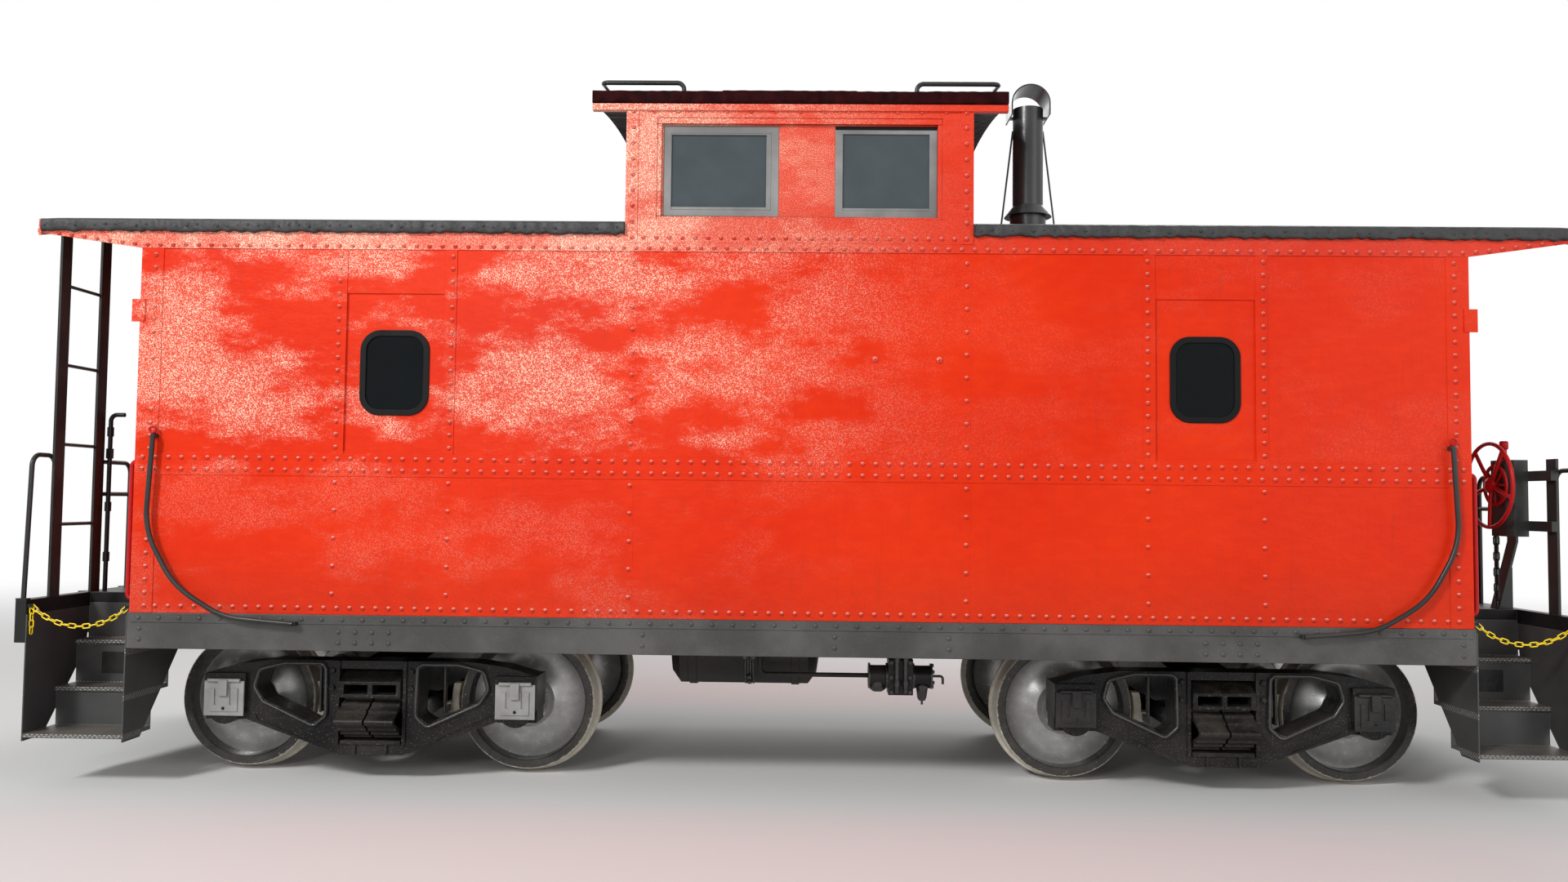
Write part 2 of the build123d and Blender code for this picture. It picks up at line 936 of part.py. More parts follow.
with BuildPart() as side_wall:
    block(
        (-body_half_length, body_half_length),
        (-body_half_width, -body_half_width + wall),
        (sill_top, wall_top),
    )
    block((-body_half_length, body_half_length), (-body_half_width - strip_plate, -body_half_width), belt_z)
    for side in (-1, 1):
        block(
            sorted((side * body_half_length, side * (body_half_length - end_strip_width))),
            (-body_half_width - strip_plate, -body_half_width),
            (sill_top, fascia_seam),
        )
        middle = side * window_x
        for low in (middle - panel_half_width - post_strip_width, middle + panel_half_width):
            block(
                (low, low + post_strip_width),
                (-body_half_width - strip_plate, -body_half_width),
                (belt_z[1], fascia_seam),
            )
        block(
            (side * window_x - panel_half_width, side * window_x + panel_half_width),
            (-body_half_width, -body_half_width + panel_recess),
            panel_z,
            mode=Mode.SUBTRACT,
        )
        with BuildSketch(Plane.XZ.offset(body_half_width)):
            with Locations((side * window_x, window_centre_z)):
                RectangleRounded(*window_cut, window_cut_corner)
        extrude(amount=-wall, mode=Mode.SUBTRACT)
finish(side_wall, "side_wall_near")

with BuildPart() as side_wall_far:
    add(side_wall.part.mirror(Plane.XZ))
finish(side_wall_far, "side_wall_far")

with BuildPart() as window_frame:
    for side in (-1, 1):
        with BuildSketch(Plane.XZ.offset(body_half_width - panel_recess)):
            with Locations((side * window_x, window_centre_z)):
                RectangleRounded(*window_size, window_corner)
                RectangleRounded(
                    window_size[0] - 2 * window_frame_width,
                    window_size[1] - 2 * window_frame_width,
                    window_corner - window_frame_width,
                    mode=Mode.SUBTRACT,
                )
        extrude(amount=window_frame_proud)
    mirror(about=Plane.XZ)
finish(window_frame, "window_frames")

with BuildPart() as window_glass:
    for side in (-1, 1):
        with BuildSketch(Plane.XZ.offset(body_half_width - panel_recess - glass_thickness)):
            with Locations((side * window_x, window_centre_z)):
                RectangleRounded(
                    window_cut[0] - 2 * glass_gap,
                    window_cut[1] - 2 * glass_gap,
                    window_cut_corner - glass_gap,
                )
        extrude(amount=glass_thickness)
    mirror(about=Plane.XZ)
finish(window_glass, "side_window_glass")

# End walls, each with a doorway and two windows, under the arch of the roof
doorway = (floor_top, floor_top + door_size[1] + 2 * door_gap)
under_half = roof_half_width - roof_lip
under_rise = roof_edge_z[1] + roof_rise - roof_sheet - roof_edge_z[0]
cupola_under_rise = cupola_edge_z[1] + cupola_rise - cupola_sheet - cupola_edge_z[0]


def arched_wall(half_width, low, edge, rise):
    """Return the section of a wall whose top follows the underside of a roof."""
    corner = arc_height(half_width, under_half, edge, rise) - fit_gap
    with BuildSketch(Plane.XY) as outline:
        with BuildLine():
            Polyline((half_width, corner), (half_width, low), (-half_width, low), (-half_width, corner))
            ThreePointArc((half_width, corner), (0, edge + rise - fit_gap), (-half_width, corner))
        make_face()
    return outline.sketch


with BuildPart() as end_wall:
    with BuildSketch(Plane.YZ.offset(body_half_length - wall)):
        add(arched_wall(body_half_width - wall, sill_top, roof_edge_z[0], under_rise))
        with Locations((0, (doorway[0] + doorway[1]) / 2)):
            Rectangle(door_size[0] + 2 * door_gap, doorway[1] - doorway[0], mode=Mode.SUBTRACT)
        with Locations((-end_window_y, end_window_z), (end_window_y, end_window_z)):
            Rectangle(end_window_size[0], end_window_size[1], mode=Mode.SUBTRACT)
    extrude(amount=wall)

for letter, turn in (("a", 180), ("b", 0)):
    with BuildPart() as end_wall_here:
        with Locations(Location((0, 0, 0), (0, 0, turn))):
            add(end_wall.part)
    finish(end_wall_here, f"end_wall_{letter}")

with BuildPart() as end_glass:
    for side in (-1, 1):
        middle = side * (body_half_length - wall / 2)
        for place in (-end_window_y, end_window_y):
            block(
                (middle - glass_thickness / 2, middle + glass_thickness / 2),
                (place - end_window_size[0] / 2, place + end_window_size[0] / 2),
                (end_window_z - end_window_size[1] / 2, end_window_z + end_window_size[1] / 2),
            )
finish(end_glass, "end_window_glass")

# Each door swings in on two hinges whose pins stand at the jamb line
door_inner = body_half_length - wall
door_outer = door_inner + door_thickness
door_y = (-door_size[0] / 2, door_size[0] / 2 + door_gap - latch_gap)
door_light_y = (-door_size[0] / 2 + door_light_inset, door_size[0] / 2 - door_light_inset)
hinge_x = door_inner - hinge_offset
hinge_y = -door_size[0] / 2 - door_gap
knuckle_height = hinge_length / 3

with BuildPart() as door_leaf:
    block((door_inner, door_outer), door_y, (floor_top + door_gap, floor_top + door_gap + door_size[1]))
    block((door_inner, door_outer), door_light_y, door_light_z, mode=Mode.SUBTRACT)
    block((door_outer - door_panel_depth, door_outer), door_light_y, door_panel_z, mode=Mode.SUBTRACT)
    block((door_inner, door_inner + door_panel_depth), door_light_y, door_panel_z, mode=Mode.SUBTRACT)
    middle = door_inner + door_thickness / 2
    block((middle - glass_thickness / 2, middle + glass_thickness / 2), door_light_y, door_light_z)
    with BuildSketch(Plane.YZ.offset(door_inner - knob_reach)):
        with Locations((door_y[1] - knob_inset, knob_z)):
            RegularPolygon(knob_radius, 8)
    extrude(amount=knob_depth)
    with BuildSketch(Plane.YZ.offset(door_outer + knob_reach - knob_depth)):
        with Locations((door_y[1] - knob_inset, knob_z)):
            RegularPolygon(knob_radius, 8)
    extrude(amount=knob_depth)
    block(
        (door_inner - knob_reach, door_outer + knob_reach),
        (door_y[1] - knob_inset - knob_stem / 2, door_y[1] - knob_inset + knob_stem / 2),
        (knob_z - knob_stem / 2, knob_z + knob_stem / 2),
    )
    for low in hinge_z:
        knuckle = (low + knuckle_height + fit_gap, low + 2 * knuckle_height - fit_gap)
        block((door_inner - hinge_plate, door_inner), (hinge_y, hinge_y + hinge_plate_width), knuckle)
        bar((hinge_x, hinge_y, knuckle[0]), (0, 0, 1), hinge_barrel_radius, knuckle[1] - knuckle[0])
        bar(
            (hinge_x, hinge_y, knuckle[0]),
            (0, 0, 1),
            hinge_pin_radius + hinge_pin_gap,
            knuckle[1] - knuckle[0],
            mode=Mode.SUBTRACT,
        )

with BuildPart() as hinge_pair:
    for low in hinge_z:
        for start in (low, low + 2 * knuckle_height):
            block(
                (door_inner - hinge_plate, door_inner),
                (hinge_y - hinge_plate_width, hinge_y),
                (start, start + knuckle_height),
            )
            bar((hinge_x, hinge_y, start), (0, 0, 1), hinge_barrel_radius, knuckle_height)
        bar((hinge_x, hinge_y, low), (0, 0, 1), hinge_pin_radius, hinge_length)
with BuildPart() as door_hinges:
    both_ends(hinge_pair.part)
finish(door_hinges, "door_hinges")

for letter, turn in (("a", 180), ("b", 0)):
    with BuildPart() as door:
        with Locations(Location((0, 0, 0), (0, 0, turn))):
            add(door_leaf.part)
    finish(door, f"door_{letter}")


# Roof, in two lengths with the cupola between them
def arched_sheet(edge, rise, sheet):
    """Return the section of an arched sheet with a deeper rolled edge along each side."""
    lip = roof_half_width - roof_lip
    with BuildSketch(Plane.XY) as section:
        with BuildLine():
            Line((-roof_half_width, edge[0]), (-roof_half_width, edge[1]))
            ThreePointArc((-roof_half_width, edge[1]), (0, edge[1] + rise), (roof_half_width, edge[1]))
            Line((roof_half_width, edge[1]), (roof_half_width, edge[0]))
            Line((roof_half_width, edge[0]), (lip, edge[0]))
            ThreePointArc((lip, edge[0]), (0, edge[1] + rise - sheet), (-lip, edge[0]))
            Line((-lip, edge[0]), (-roof_half_width, edge[0]))
        make_face()
    return section.sketch


with BuildPart() as roof:
    for side in (-1, 1):
        with BuildSketch(Plane.YZ.offset(side * cupola_half_length)):
            add(arched_sheet(roof_edge_z, roof_rise, roof_sheet))
        extrude(amount=side * (roof_half_length - cupola_half_length))
finish(roof, "roof")

# Fascia: a band under each side of the roof, and an arched band across each end of it
with BuildPart() as fascia:
    with BuildSketch(Plane.XZ.offset(body_half_width)):
        with BuildLine():
            Polyline(
                (-fascia_tip_x, roof_edge_z[0]),
                (-fascia_tip_x, roof_edge_z[0] - fascia_tip_depth),
                (-body_half_length, fascia_seam),
                (body_half_length, fascia_seam),
                (fascia_tip_x, roof_edge_z[0] - fascia_tip_depth),
                (fascia_tip_x, roof_edge_z[0]),
                (cupola_half_length, roof_edge_z[0]),
                (cupola_half_length, cupola_bottom),
                (-cupola_half_length, cupola_bottom),
                (-cupola_half_length, roof_edge_z[0]),
                close=True,
            )
        make_face()
    extrude(amount=fascia_plate)
    mirror(about=Plane.XZ)
    for side in (-1, 1):
        with BuildSketch(Plane.YZ.offset(side * roof_half_length)):
            with BuildLine():
                low = roof_edge_z[1] - end_fascia_depth
                Line((-roof_half_width, low), (-roof_half_width, roof_edge_z[1]))
                ThreePointArc(
                    (-roof_half_width, roof_edge_z[1]),
                    (0, roof_edge_z[1] + roof_rise),
                    (roof_half_width, roof_edge_z[1]),
                )
                Line((roof_half_width, roof_edge_z[1]), (roof_half_width, low))
                ThreePointArc((roof_half_width, low), (0, low + roof_rise), (-roof_half_width, low))
            make_face()
        extrude(amount=side * end_fascia_plate)
finish(fascia, "roof_fascia")

# Cupola: side walls with recessed panels for the sashes, end walls, an arched roof
cupola_top = cupola_edge_z[0]
sash_face = -body_half_width + cupola_recess_depth
with BuildPart() as cupola_sides:
    block(
        (-cupola_half_length, cupola_half_length),
        (-body_half_width - fascia_plate, -body_half_width),
        (cupola_bottom, cupola_top),
    )
    block(
        (-cupola_half_length, cupola_half_length),
        (-body_half_width, -body_half_width + wall),
        (wall_top, cupola_top),
    )
    block(
        (-cupola_recess_half, cupola_recess_half),
        (-body_half_width - fascia_plate, sash_face),
        cupola_recess_z,
        mode=Mode.SUBTRACT,
    )
    for low, high in sash_x:
        block((low, high), (sash_face, -body_half_width + wall), sash_z, mode=Mode.SUBTRACT)
    for side in (-1, 1):
        block(
            sorted((side * cupola_half_length, side * (cupola_half_length - cupola_corner_strip))),
            (-body_half_width - fascia_plate - strip_plate, -body_half_width - fascia_plate),
            (cupola_bottom, cupola_top),
        )
    mirror(about=Plane.XZ)
finish(cupola_sides, "cupola_sides")

with BuildPart() as cupola_ends:
    for side in (-1, 1):
        with BuildSketch(Plane.YZ.offset(side * (cupola_half_length - wall))):
            add(arched_wall(body_half_width - wall, wall_top, cupola_top, cupola_under_rise))
            for place in (-cupola_end_window_y, cupola_end_window_y):
                with Locations((place, cupola_end_window_z)):
                    Rectangle(*cupola_end_window_size, mode=Mode.SUBTRACT)
        extrude(amount=side * wall)
finish(cupola_ends, "cupola_ends")

with BuildPart() as cupola_roof:
    with BuildSketch(Plane.YZ):
        add(arched_sheet(cupola_edge_z, cupola_rise, cupola_sheet))
    extrude(amount=cupola_roof_half_length, both=True)
finish(cupola_roof, "cupola_roof")

glass_z = (sash_z[0] + sash_bar, sash_z[1] - sash_bar)
with BuildPart() as sashes:
    for low, high in sash_x:
        block((low, high), (sash_face, sash_face + sash_thickness), sash_z)
        block(
            (low + sash_bar, high - sash_bar),
            (sash_face, sash_face + sash_thickness),
            glass_z,
            mode=Mode.SUBTRACT,
        )
    mirror(about=Plane.XZ)
finish(sashes, "cupola_sashes")

with BuildPart() as cupola_glass:
    for low, high in sash_x:
        middle = sash_face + sash_thickness / 2
        block(
            (low + sash_bar, high - sash_bar),
            (middle - glass_thickness / 2, middle + glass_thickness / 2),
            glass_z,
        )
    mirror(about=Plane.XZ)
    for side in (-1, 1):
        middle = side * (cupola_half_length - wall / 2)
        for place in (-cupola_end_window_y, cupola_end_window_y):
            block(
                (middle - glass_thickness / 2, middle + glass_thickness / 2),
                (place - cupola_end_window_size[0] / 2, place + cupola_end_window_size[0] / 2),
                (
                    cupola_end_window_z - cupola_end_window_size[1] / 2,
                    cupola_end_window_z + cupola_end_window_size[1] / 2,
                ),
            )
finish(cupola_glass, "cupola_glass")

# Platforms with their end sills
with BuildPart() as platform:
    block(
        (body_half_length, platform_x),
        (-deck_half_width, deck_half_width),
        (floor_top - deck_thickness, floor_top),
    )
    for low, high in ((-body_half_width, -cover_plate_half), (cover_plate_half, body_half_width)):
        block((platform_x, end_sill_x), (low, high), (end_sill_bottom, floor_top))
    block((platform_x, end_sill_x), (-cover_plate_half, cover_plate_half), (sill_top, floor_top))
    for side in (-1, 1):
        block(
            (body_half_length, platform_x),
            sorted((side * (deck_half_width - deck_beam[0]), side * deck_half_width)),
            (floor_top - deck_thickness - deck_beam[1], floor_top - deck_thickness),
        )
with BuildPart() as platforms:
    both_ends(platform.part)
finish(platforms, "end_platforms")

with BuildPart() as step:
    for side_x in (step_x[0], step_x[1] - step_side_plate):
        add(
            prism(
                Plane.YZ.offset(side_x),
                [
                    (-nosing_y[2], step_side_top),
                    (-nosing_y[2], tread_z[2] - tread_thickness - step_drop),
                    (-nosing_y[2] + step_side_foot, tread_z[2] - tread_thickness - step_drop),
                    (-step_side_back[0], step_side_back[1]),
                    (-deck_half_width, step_side_top),
                ],
                step_side_plate,
            )
        )
    # Columns: tread height, nosing, riser behind it, top of that riser
    treads = (
        (tread_z[0], nosing_y[0], deck_half_width + step_side_plate, floor_top - deck_thickness),
        (tread_z[1], nosing_y[1], nosing_y[0] - tread_overlap, tread_z[0]),
        (tread_z[2], nosing_y[2], nosing_y[1] - tread_overlap, tread_z[1]),
    )
    for height, nosing, riser, riser_top in treads:
        block(
            (step_x[0] + step_side_plate, step_x[1] - step_side_plate),
            (-nosing, -riser),
            (height - tread_thickness, height),
        )
        block(
            (step_x[0] + step_side_plate, step_x[1] - step_side_plate),
            (-riser - step_side_plate, -riser),
            (height, riser_top - tread_thickness),
        )
with BuildPart() as steps:
    four_corners(step.part)
finish(steps, "steps")

# Ladder at the far corner of the +X end, from the end sill to the roof
post_face = platform_x + ladder_bar[0]
post_half = ladder_bar[1] / 2
with BuildPart() as ladder:
    for place in ladder_y:
        top = arc_height(place, roof_half_width, roof_edge_z[1], roof_rise) - ladder_drop
        block((platform_x, post_face), (place - post_half, place + post_half), (floor_top, top))
    for number in range(rung_count):
        height = first_rung_z + number * rung_spacing
        middle = platform_x + ladder_bar[0] / 2
        add(rod([(middle, ladder_y[0], height), (middle, ladder_y[1], height)], rung_radius, 0))
with BuildPart() as ladders:
    both_ends(ladder.part)
finish(ladders, "roof_ladders")

# Hand brake: a wheel, its geared case on two posts, a release lever and a rod to the deck
wheel_x, wheel_y, wheel_z = brake_wheel_centre
with BuildPart() as brake_wheel:
    with BuildSketch(Plane.XZ):
        with Locations((brake_wheel_radius - brake_wheel_rim, 0)):
            RegularPolygon(brake_wheel_rim, 6)
    revolve(axis=Axis.Z)
    with BuildSketch(Plane.XY.offset(-brake_spoke[1] / 2)):
        with PolarLocations((brake_wheel_radius - brake_wheel_rim) / 2, brake_spokes):
            Rectangle(brake_wheel_radius - brake_wheel_rim, brake_spoke[0])
        RegularPolygon(brake_hub_radius, 12)
    extrude(amount=brake_spoke[1])
    with BuildSketch(Plane.XY):
        RegularPolygon(brake_shaft_radius, 8)
    extrude(amount=brake_case_x[0] - wheel_x)
with BuildPart() as brake_wheel_placed:
    with Locations(Plane(origin=(wheel_x, wheel_y, wheel_z), z_dir=(1, 0, 0))):
        add(brake_wheel.part)
with BuildPart() as brake_wheels:
    both_ends(brake_wheel_placed.part)
finish(brake_wheels, "hand_brake_wheels")

case_points = [
    (brake_case_x[1], -brake_case_half),
    (brake_case_x[1], brake_case_half),
    (brake_case_x[0] + brake_case_chamfer, brake_case_half),
    (brake_case_x[0], brake_case_half - brake_case_chamfer),
    (brake_case_x[0], -brake_case_half + brake_case_chamfer),
    (brake_case_x[0] + brake_case_chamfer, -brake_case_half),
]
with BuildPart() as brake_stand:
    add(
        prism(
            Plane.XY.offset(brake_case_z[0]),
            [(x, y + wheel_y) for x, y in case_points],
            brake_case_z[1] - brake_case_z[0],
        )
    )
    for height in brake_strap_z:
        block(
            (brake_case_x[1], platform_x),
            (-ladder_y[1] - post_half, -ladder_y[0] + post_half),
            (height - brake_strap_height / 2, height + brake_strap_height / 2),
        )
    block(
        (platform_x, post_face),
        (-ladder_y[1] - post_half, -ladder_y[1] + post_half),
        (floor_top, brake_case_z[1]),
    )
    block(
        (platform_x, post_face),
        (-ladder_y[0] - post_half, -ladder_y[0] + post_half),
        (brake_leg_knee_z, brake_case_z[1]),
    )
    add(
        prism(
            Plane.XZ.offset(ladder_y[0] - post_half),
            [
                (platform_x, brake_leg_knee_z),
                (post_face, brake_leg_knee_z),
                (brake_leg_foot_x + ladder_bar[0], floor_top),
                (brake_leg_foot_x, floor_top),
            ],
            ladder_bar[1],
        )
    )
    add(
        prism(
            Plane.XZ.offset(ladder_y[0] - ladder_bar[0] / 2),
            [
                (platform_x, brake_leg_knee_z - brake_gusset),
                (platform_x, floor_top),
                (brake_leg_foot_x, floor_top),
            ],
            ladder_bar[0],
        )
    )
    lever_points = [(brake_lever[0], wheel_y, brake_case_z[1]), (brake_lever[0], wheel_y, brake_lever[1])]
    add(rod(lever_points, brake_rod_radius, 0))
    with BuildSketch(Plane.XY.offset(brake_lever[1] - brake_lever_ball)):
        with Locations((brake_lever[0], wheel_y)):
            RegularPolygon(brake_lever_ball, 8)
    extrude(amount=2 * brake_lever_ball)
    add(rod([(*brake_rod, floor_top), (*brake_rod, brake_case_z[0])], brake_rod_radius, 0))
with BuildPart() as brake_stands:
    both_ends(brake_stand.part)
finish(brake_stands, "hand_brake_stands")

# End railings, from a post beside the gangway to the ladder and to the hand brake
rail_x = post_face + rail_radius
with BuildPart() as railing:
    railing_points = [
        (rail_x, -railing_y, floor_top),
        (rail_x, -railing_y, railing_z[1]),
        (rail_x, -ladder_y[0], railing_z[1]),
    ]
    add(rod(railing_points, rail_radius, corner_rail_bend))
    add(rod([(rail_x, -railing_y, railing_z[0]), (rail_x, -ladder_y[0], railing_z[0])], rail_radius, 0))
    for height in railing_z:
        block(
            (post_face, rail_x),
            (-ladder_y[0], -ladder_y[0] + post_half),
            (height - rail_radius, height + rail_radius),
        )
with BuildPart() as railings:
    four_corners(railing.part)
finish(railings, "end_railings")

# Hoop handrails at the corners, from the end sill to the outer posts
with BuildPart() as corner_iron:
    add(
        rod(
            [
                (rail_x, -corner_rail_y[0], floor_top + foot_plate / 2),
                (rail_x, -corner_rail_y[1], corner_rail_z[0]),
                (rail_x, -corner_rail_y[2], corner_rail_z[0]),
                (rail_x, -corner_rail_y[2], corner_rail_z[1]),
            ],
            rail_radius,
            corner_rail_bend,
        )
    )
    block(
        (post_face, rail_x),
        (-corner_rail_y[2] - rail_radius, -corner_rail_y[2] + rail_radius),
        (corner_rail_z[1], corner_rail_z[1] + 2 * rail_radius),
    )
    block(
        (platform_x, end_sill_x),
        (-body_half_width, -corner_rail_y[0] + corner_rail_inset[0]),
        (floor_top, floor_top + foot_plate),
    )
with BuildPart() as corner_irons:
    four_corners(corner_iron.part)
finish(corner_irons, "corner_handrails")

# Curved grab irons on the sides, each bolted to the wall and to the sill
side_iron_y = body_half_width + side_iron_gap + rail_radius
side_iron_points = [(body_half_length - x, -side_iron_y, z) for x, z in side_iron]
with BuildPart() as side_grab_iron:
    add(rod(side_iron_points, rail_radius, side_iron_bend))
    # Columns: end of the iron, face it stands on
    iron_feet = (
        (side_iron_points[0], body_half_width + strip_plate),
        (side_iron_points[-1], sill_face),
    )
    for end, face in iron_feet:
        block(
            (end[0] - foot_radius, end[0] + foot_radius),
            (-side_iron_y, -face),
            (end[2] - foot_radius, end[2] + foot_radius),
        )
with BuildPart() as side_irons:
    four_corners(side_grab_iron.part)
finish(side_irons, "side_grab_irons")

end_iron_x = body_half_length + end_iron_reach
with BuildPart() as end_grab_iron:
    add(
        rod(
            [
                (body_half_length, -end_iron_y, end_iron_z[1]),
                (end_iron_x, -end_iron_y, end_iron_z[1]),
                (end_iron_x, -end_iron_y, end_iron_z[0]),
                (body_half_length, -end_iron_y, end_iron_z[0]),
            ],
            rail_radius,
            end_iron_bend,
        )
    )
with BuildPart() as end_irons:
    four_corners(end_grab_iron.part)
finish(end_irons, "end_grab_irons")

outer_foot = arc_height(roof_rail_y[0] - rail_radius, roof_half_width, cupola_edge_z[1], cupola_rise)
inner_foot = arc_height(roof_rail_y[1] - rail_radius, roof_half_width, cupola_edge_z[1], cupola_rise)
with BuildPart() as roof_rail:
    add(
        rod(
            [
                (roof_rail_x[0], -roof_rail_y[0], outer_foot),
                (roof_rail_x[0], -roof_rail_y[0], outer_foot + roof_rail_height),
                (roof_rail_x[1], -roof_rail_y[0], outer_foot + roof_rail_height),
                (roof_rail_x[1], -roof_rail_y[1], inner_foot + roof_rail_height),
                (roof_rail_x[1], -roof_rail_y[1], inner_foot),
            ],
            rail_radius,
            roof_rail_bend,
        )
    )
with BuildPart() as roof_rails:
    four_corners(roof_rail.part)
finish(roof_rails, "cupola_roof_rails")
# Safety chains across the steps, each hung from a pin at the body and one at the end sill
def ring_link(length):
    """Return one link that lies in the XZ plane, its length along X, with cut corners."""
    cut = link_width / 4
    inner_cut = cut - link_wire / 2
    half = length / 2
    wide = link_width / 2
    thin = link_wire
    outer = [(half, wide - cut), (half - cut, wide)]
    inner = [(half - thin, wide - thin - inner_cut), (half - thin - inner_cut, wide - thin)]
    with BuildPart() as link:
        with BuildSketch(Plane.XZ.offset(-thin / 2)):
            for points, mode in ((outer, Mode.ADD), (inner, Mode.SUBTRACT)):
                corner = points + [(-x, z) for x, z in reversed(points)]
                with BuildLine():
                    Polyline(*corner, *[(x, -z) for x, z in reversed(corner)], close=True)
                make_face(mode=mode)
        extrude(amount=thin)
    return link.part


span = chain_ends_x[1] - chain_ends_x[0]
chain_radius = (span**2 / 4 + chain_sag**2) / (2 * chain_sag)
chain_half_angle = math.asin(span / 2 / chain_radius)
link_angle = 2 * chain_half_angle / chain_links
link_pitch = 2 * chain_radius * math.sin(link_angle / 2)
link = ring_link(link_pitch + 2 * link_wire + link_play)
chain_middle = (chain_ends_x[0] + chain_ends_x[1]) / 2
with BuildPart() as step_chain:
    links = []
    for number in range(chain_links):
        angle = -chain_half_angle + link_angle * (number + 0.5)
        place = Plane(
            origin=(
                chain_middle + chain_radius * math.sin(angle),
                -chain_y,
                chain_z - chain_sag + chain_radius * (1 - math.cos(angle)),
            ),
            x_dir=(math.cos(angle), 0, math.sin(angle)),
            z_dir=(-math.sin(angle), 0, math.cos(angle)),
        )
        links.append(place.location * Location((0, 0, 0), (90 * (number % 2), 0, 0)) * link)
    add(links)
    # Columns: place of the pin, face that its lug stands on
    for pin_x, face in ((chain_ends_x[0], body_half_length), (chain_ends_x[1], platform_x)):
        outer = pin_x + math.copysign(chain_lug, pin_x - face)
        for side in (-1, 1):
            block(
                sorted((outer, face)),
                sorted((-chain_y + side * lug_space, -chain_y + side * (lug_space + lug_plate))),
                (chain_z - chain_lug, chain_z + chain_lug),
            )
        lug_half = lug_space + lug_plate
        bar((pin_x, -chain_y - lug_half, chain_z), (0, 1, 0), chain_pin_radius, 2 * lug_half)
with BuildPart() as step_chains:
    four_corners(step_chain.part)
finish(step_chains, "step_chains")

# Marker brackets: a plate on each corner strip, and a square socket on it for a lamp's stem
with BuildPart() as bracket:
    block(bracket_x, (-bracket_y - bracket_plate, -bracket_y), bracket_z)
    with Locations((socket_x, -bracket_y + socket_radius + socket_wall, (socket_z[0] + socket_z[1]) / 2)):
        Box(2 * (socket_radius + socket_wall), 2 * (socket_radius + socket_wall), socket_z[1] - socket_z[0])
        Cylinder(socket_radius, socket_z[1] - socket_z[0], mode=Mode.SUBTRACT)
with BuildPart() as brackets:
    four_corners(bracket.part)
finish(brackets, "marker_brackets")

# Smoke jack: a flared base on the roof, a pipe, and a half-round hood held by a stirrup
jack_x, jack_y = jack_place
jack_low = roof_edge_z[1]
jack_profile = [
    (jack_radius - jack_wall, jack_low),
    (jack_base_radius, jack_low),
    (jack_base_radius, jack_skirt_z[0]),
    (jack_skirt_radius, jack_skirt_z[0]),
    (jack_radius, jack_skirt_z[1]),
    (jack_radius, jack_top),
    (jack_radius - jack_wall, jack_top),
]
with BuildPart() as jack_pipe:
    with BuildSketch(Plane.XZ):
        with BuildLine():
            Polyline(*jack_profile, close=True)
        make_face()
    revolve(axis=Axis.Z)
with BuildPart() as smoke_jack:
    with Locations((jack_x, -jack_y, 0)):
        add(jack_pipe.part)
    with BuildSketch(Plane.XZ.offset(jack_y - hood_length / 2)):
        with Locations((jack_x, hood_centre_z)):
            Circle(hood_radius)
            Circle(hood_radius - hood_sheet, mode=Mode.SUBTRACT)
        with Locations((jack_x, hood_centre_z - hood_radius)):
            Rectangle(3 * hood_radius, 2 * hood_radius, mode=Mode.SUBTRACT)
        for side in (-1, 1):
            with Locations((jack_x + side * (hood_radius - hood_sheet / 2), hood_centre_z - hood_leg / 2)):
                Rectangle(hood_sheet, hood_leg)
    extrude(amount=hood_length)
    for side in (-1, 1):
        block(
            sorted((jack_x + side * hood_radius, jack_x + side * (jack_radius - jack_wall))),
            (-jack_y - hood_stirrup[0] / 2, -jack_y + hood_stirrup[0] / 2),
            (hood_centre_z - hood_leg, hood_centre_z - hood_leg + hood_stirrup[1]),
        )
        add(
            rod(
                [
                    (jack_x + side * jack_radius, -jack_y, stay_top),
                    (jack_x + side * (jack_radius + stay_spread), -jack_y, jack_low),
                ],
                stay_radius,
                0,
            )
        )
    with BuildSketch(Plane.YZ.offset(jack_x - jack_cut_half)):
        with BuildLine():
            low = jack_low - end_fascia_depth
            Polyline(
                (-roof_half_width, roof_edge_z[1]),
                (-roof_half_width, low),
                (roof_half_width, low),
                (roof_half_width, roof_edge_z[1]),
            )
            ThreePointArc(
                (-roof_half_width, roof_edge_z[1]),
                (0, roof_edge_z[1] + roof_rise),
                (roof_half_width, roof_edge_z[1]),
            )
        make_face()
    extrude(amount=2 * jack_cut_half, mode=Mode.SUBTRACT)
finish(smoke_jack, "smoke_jack")

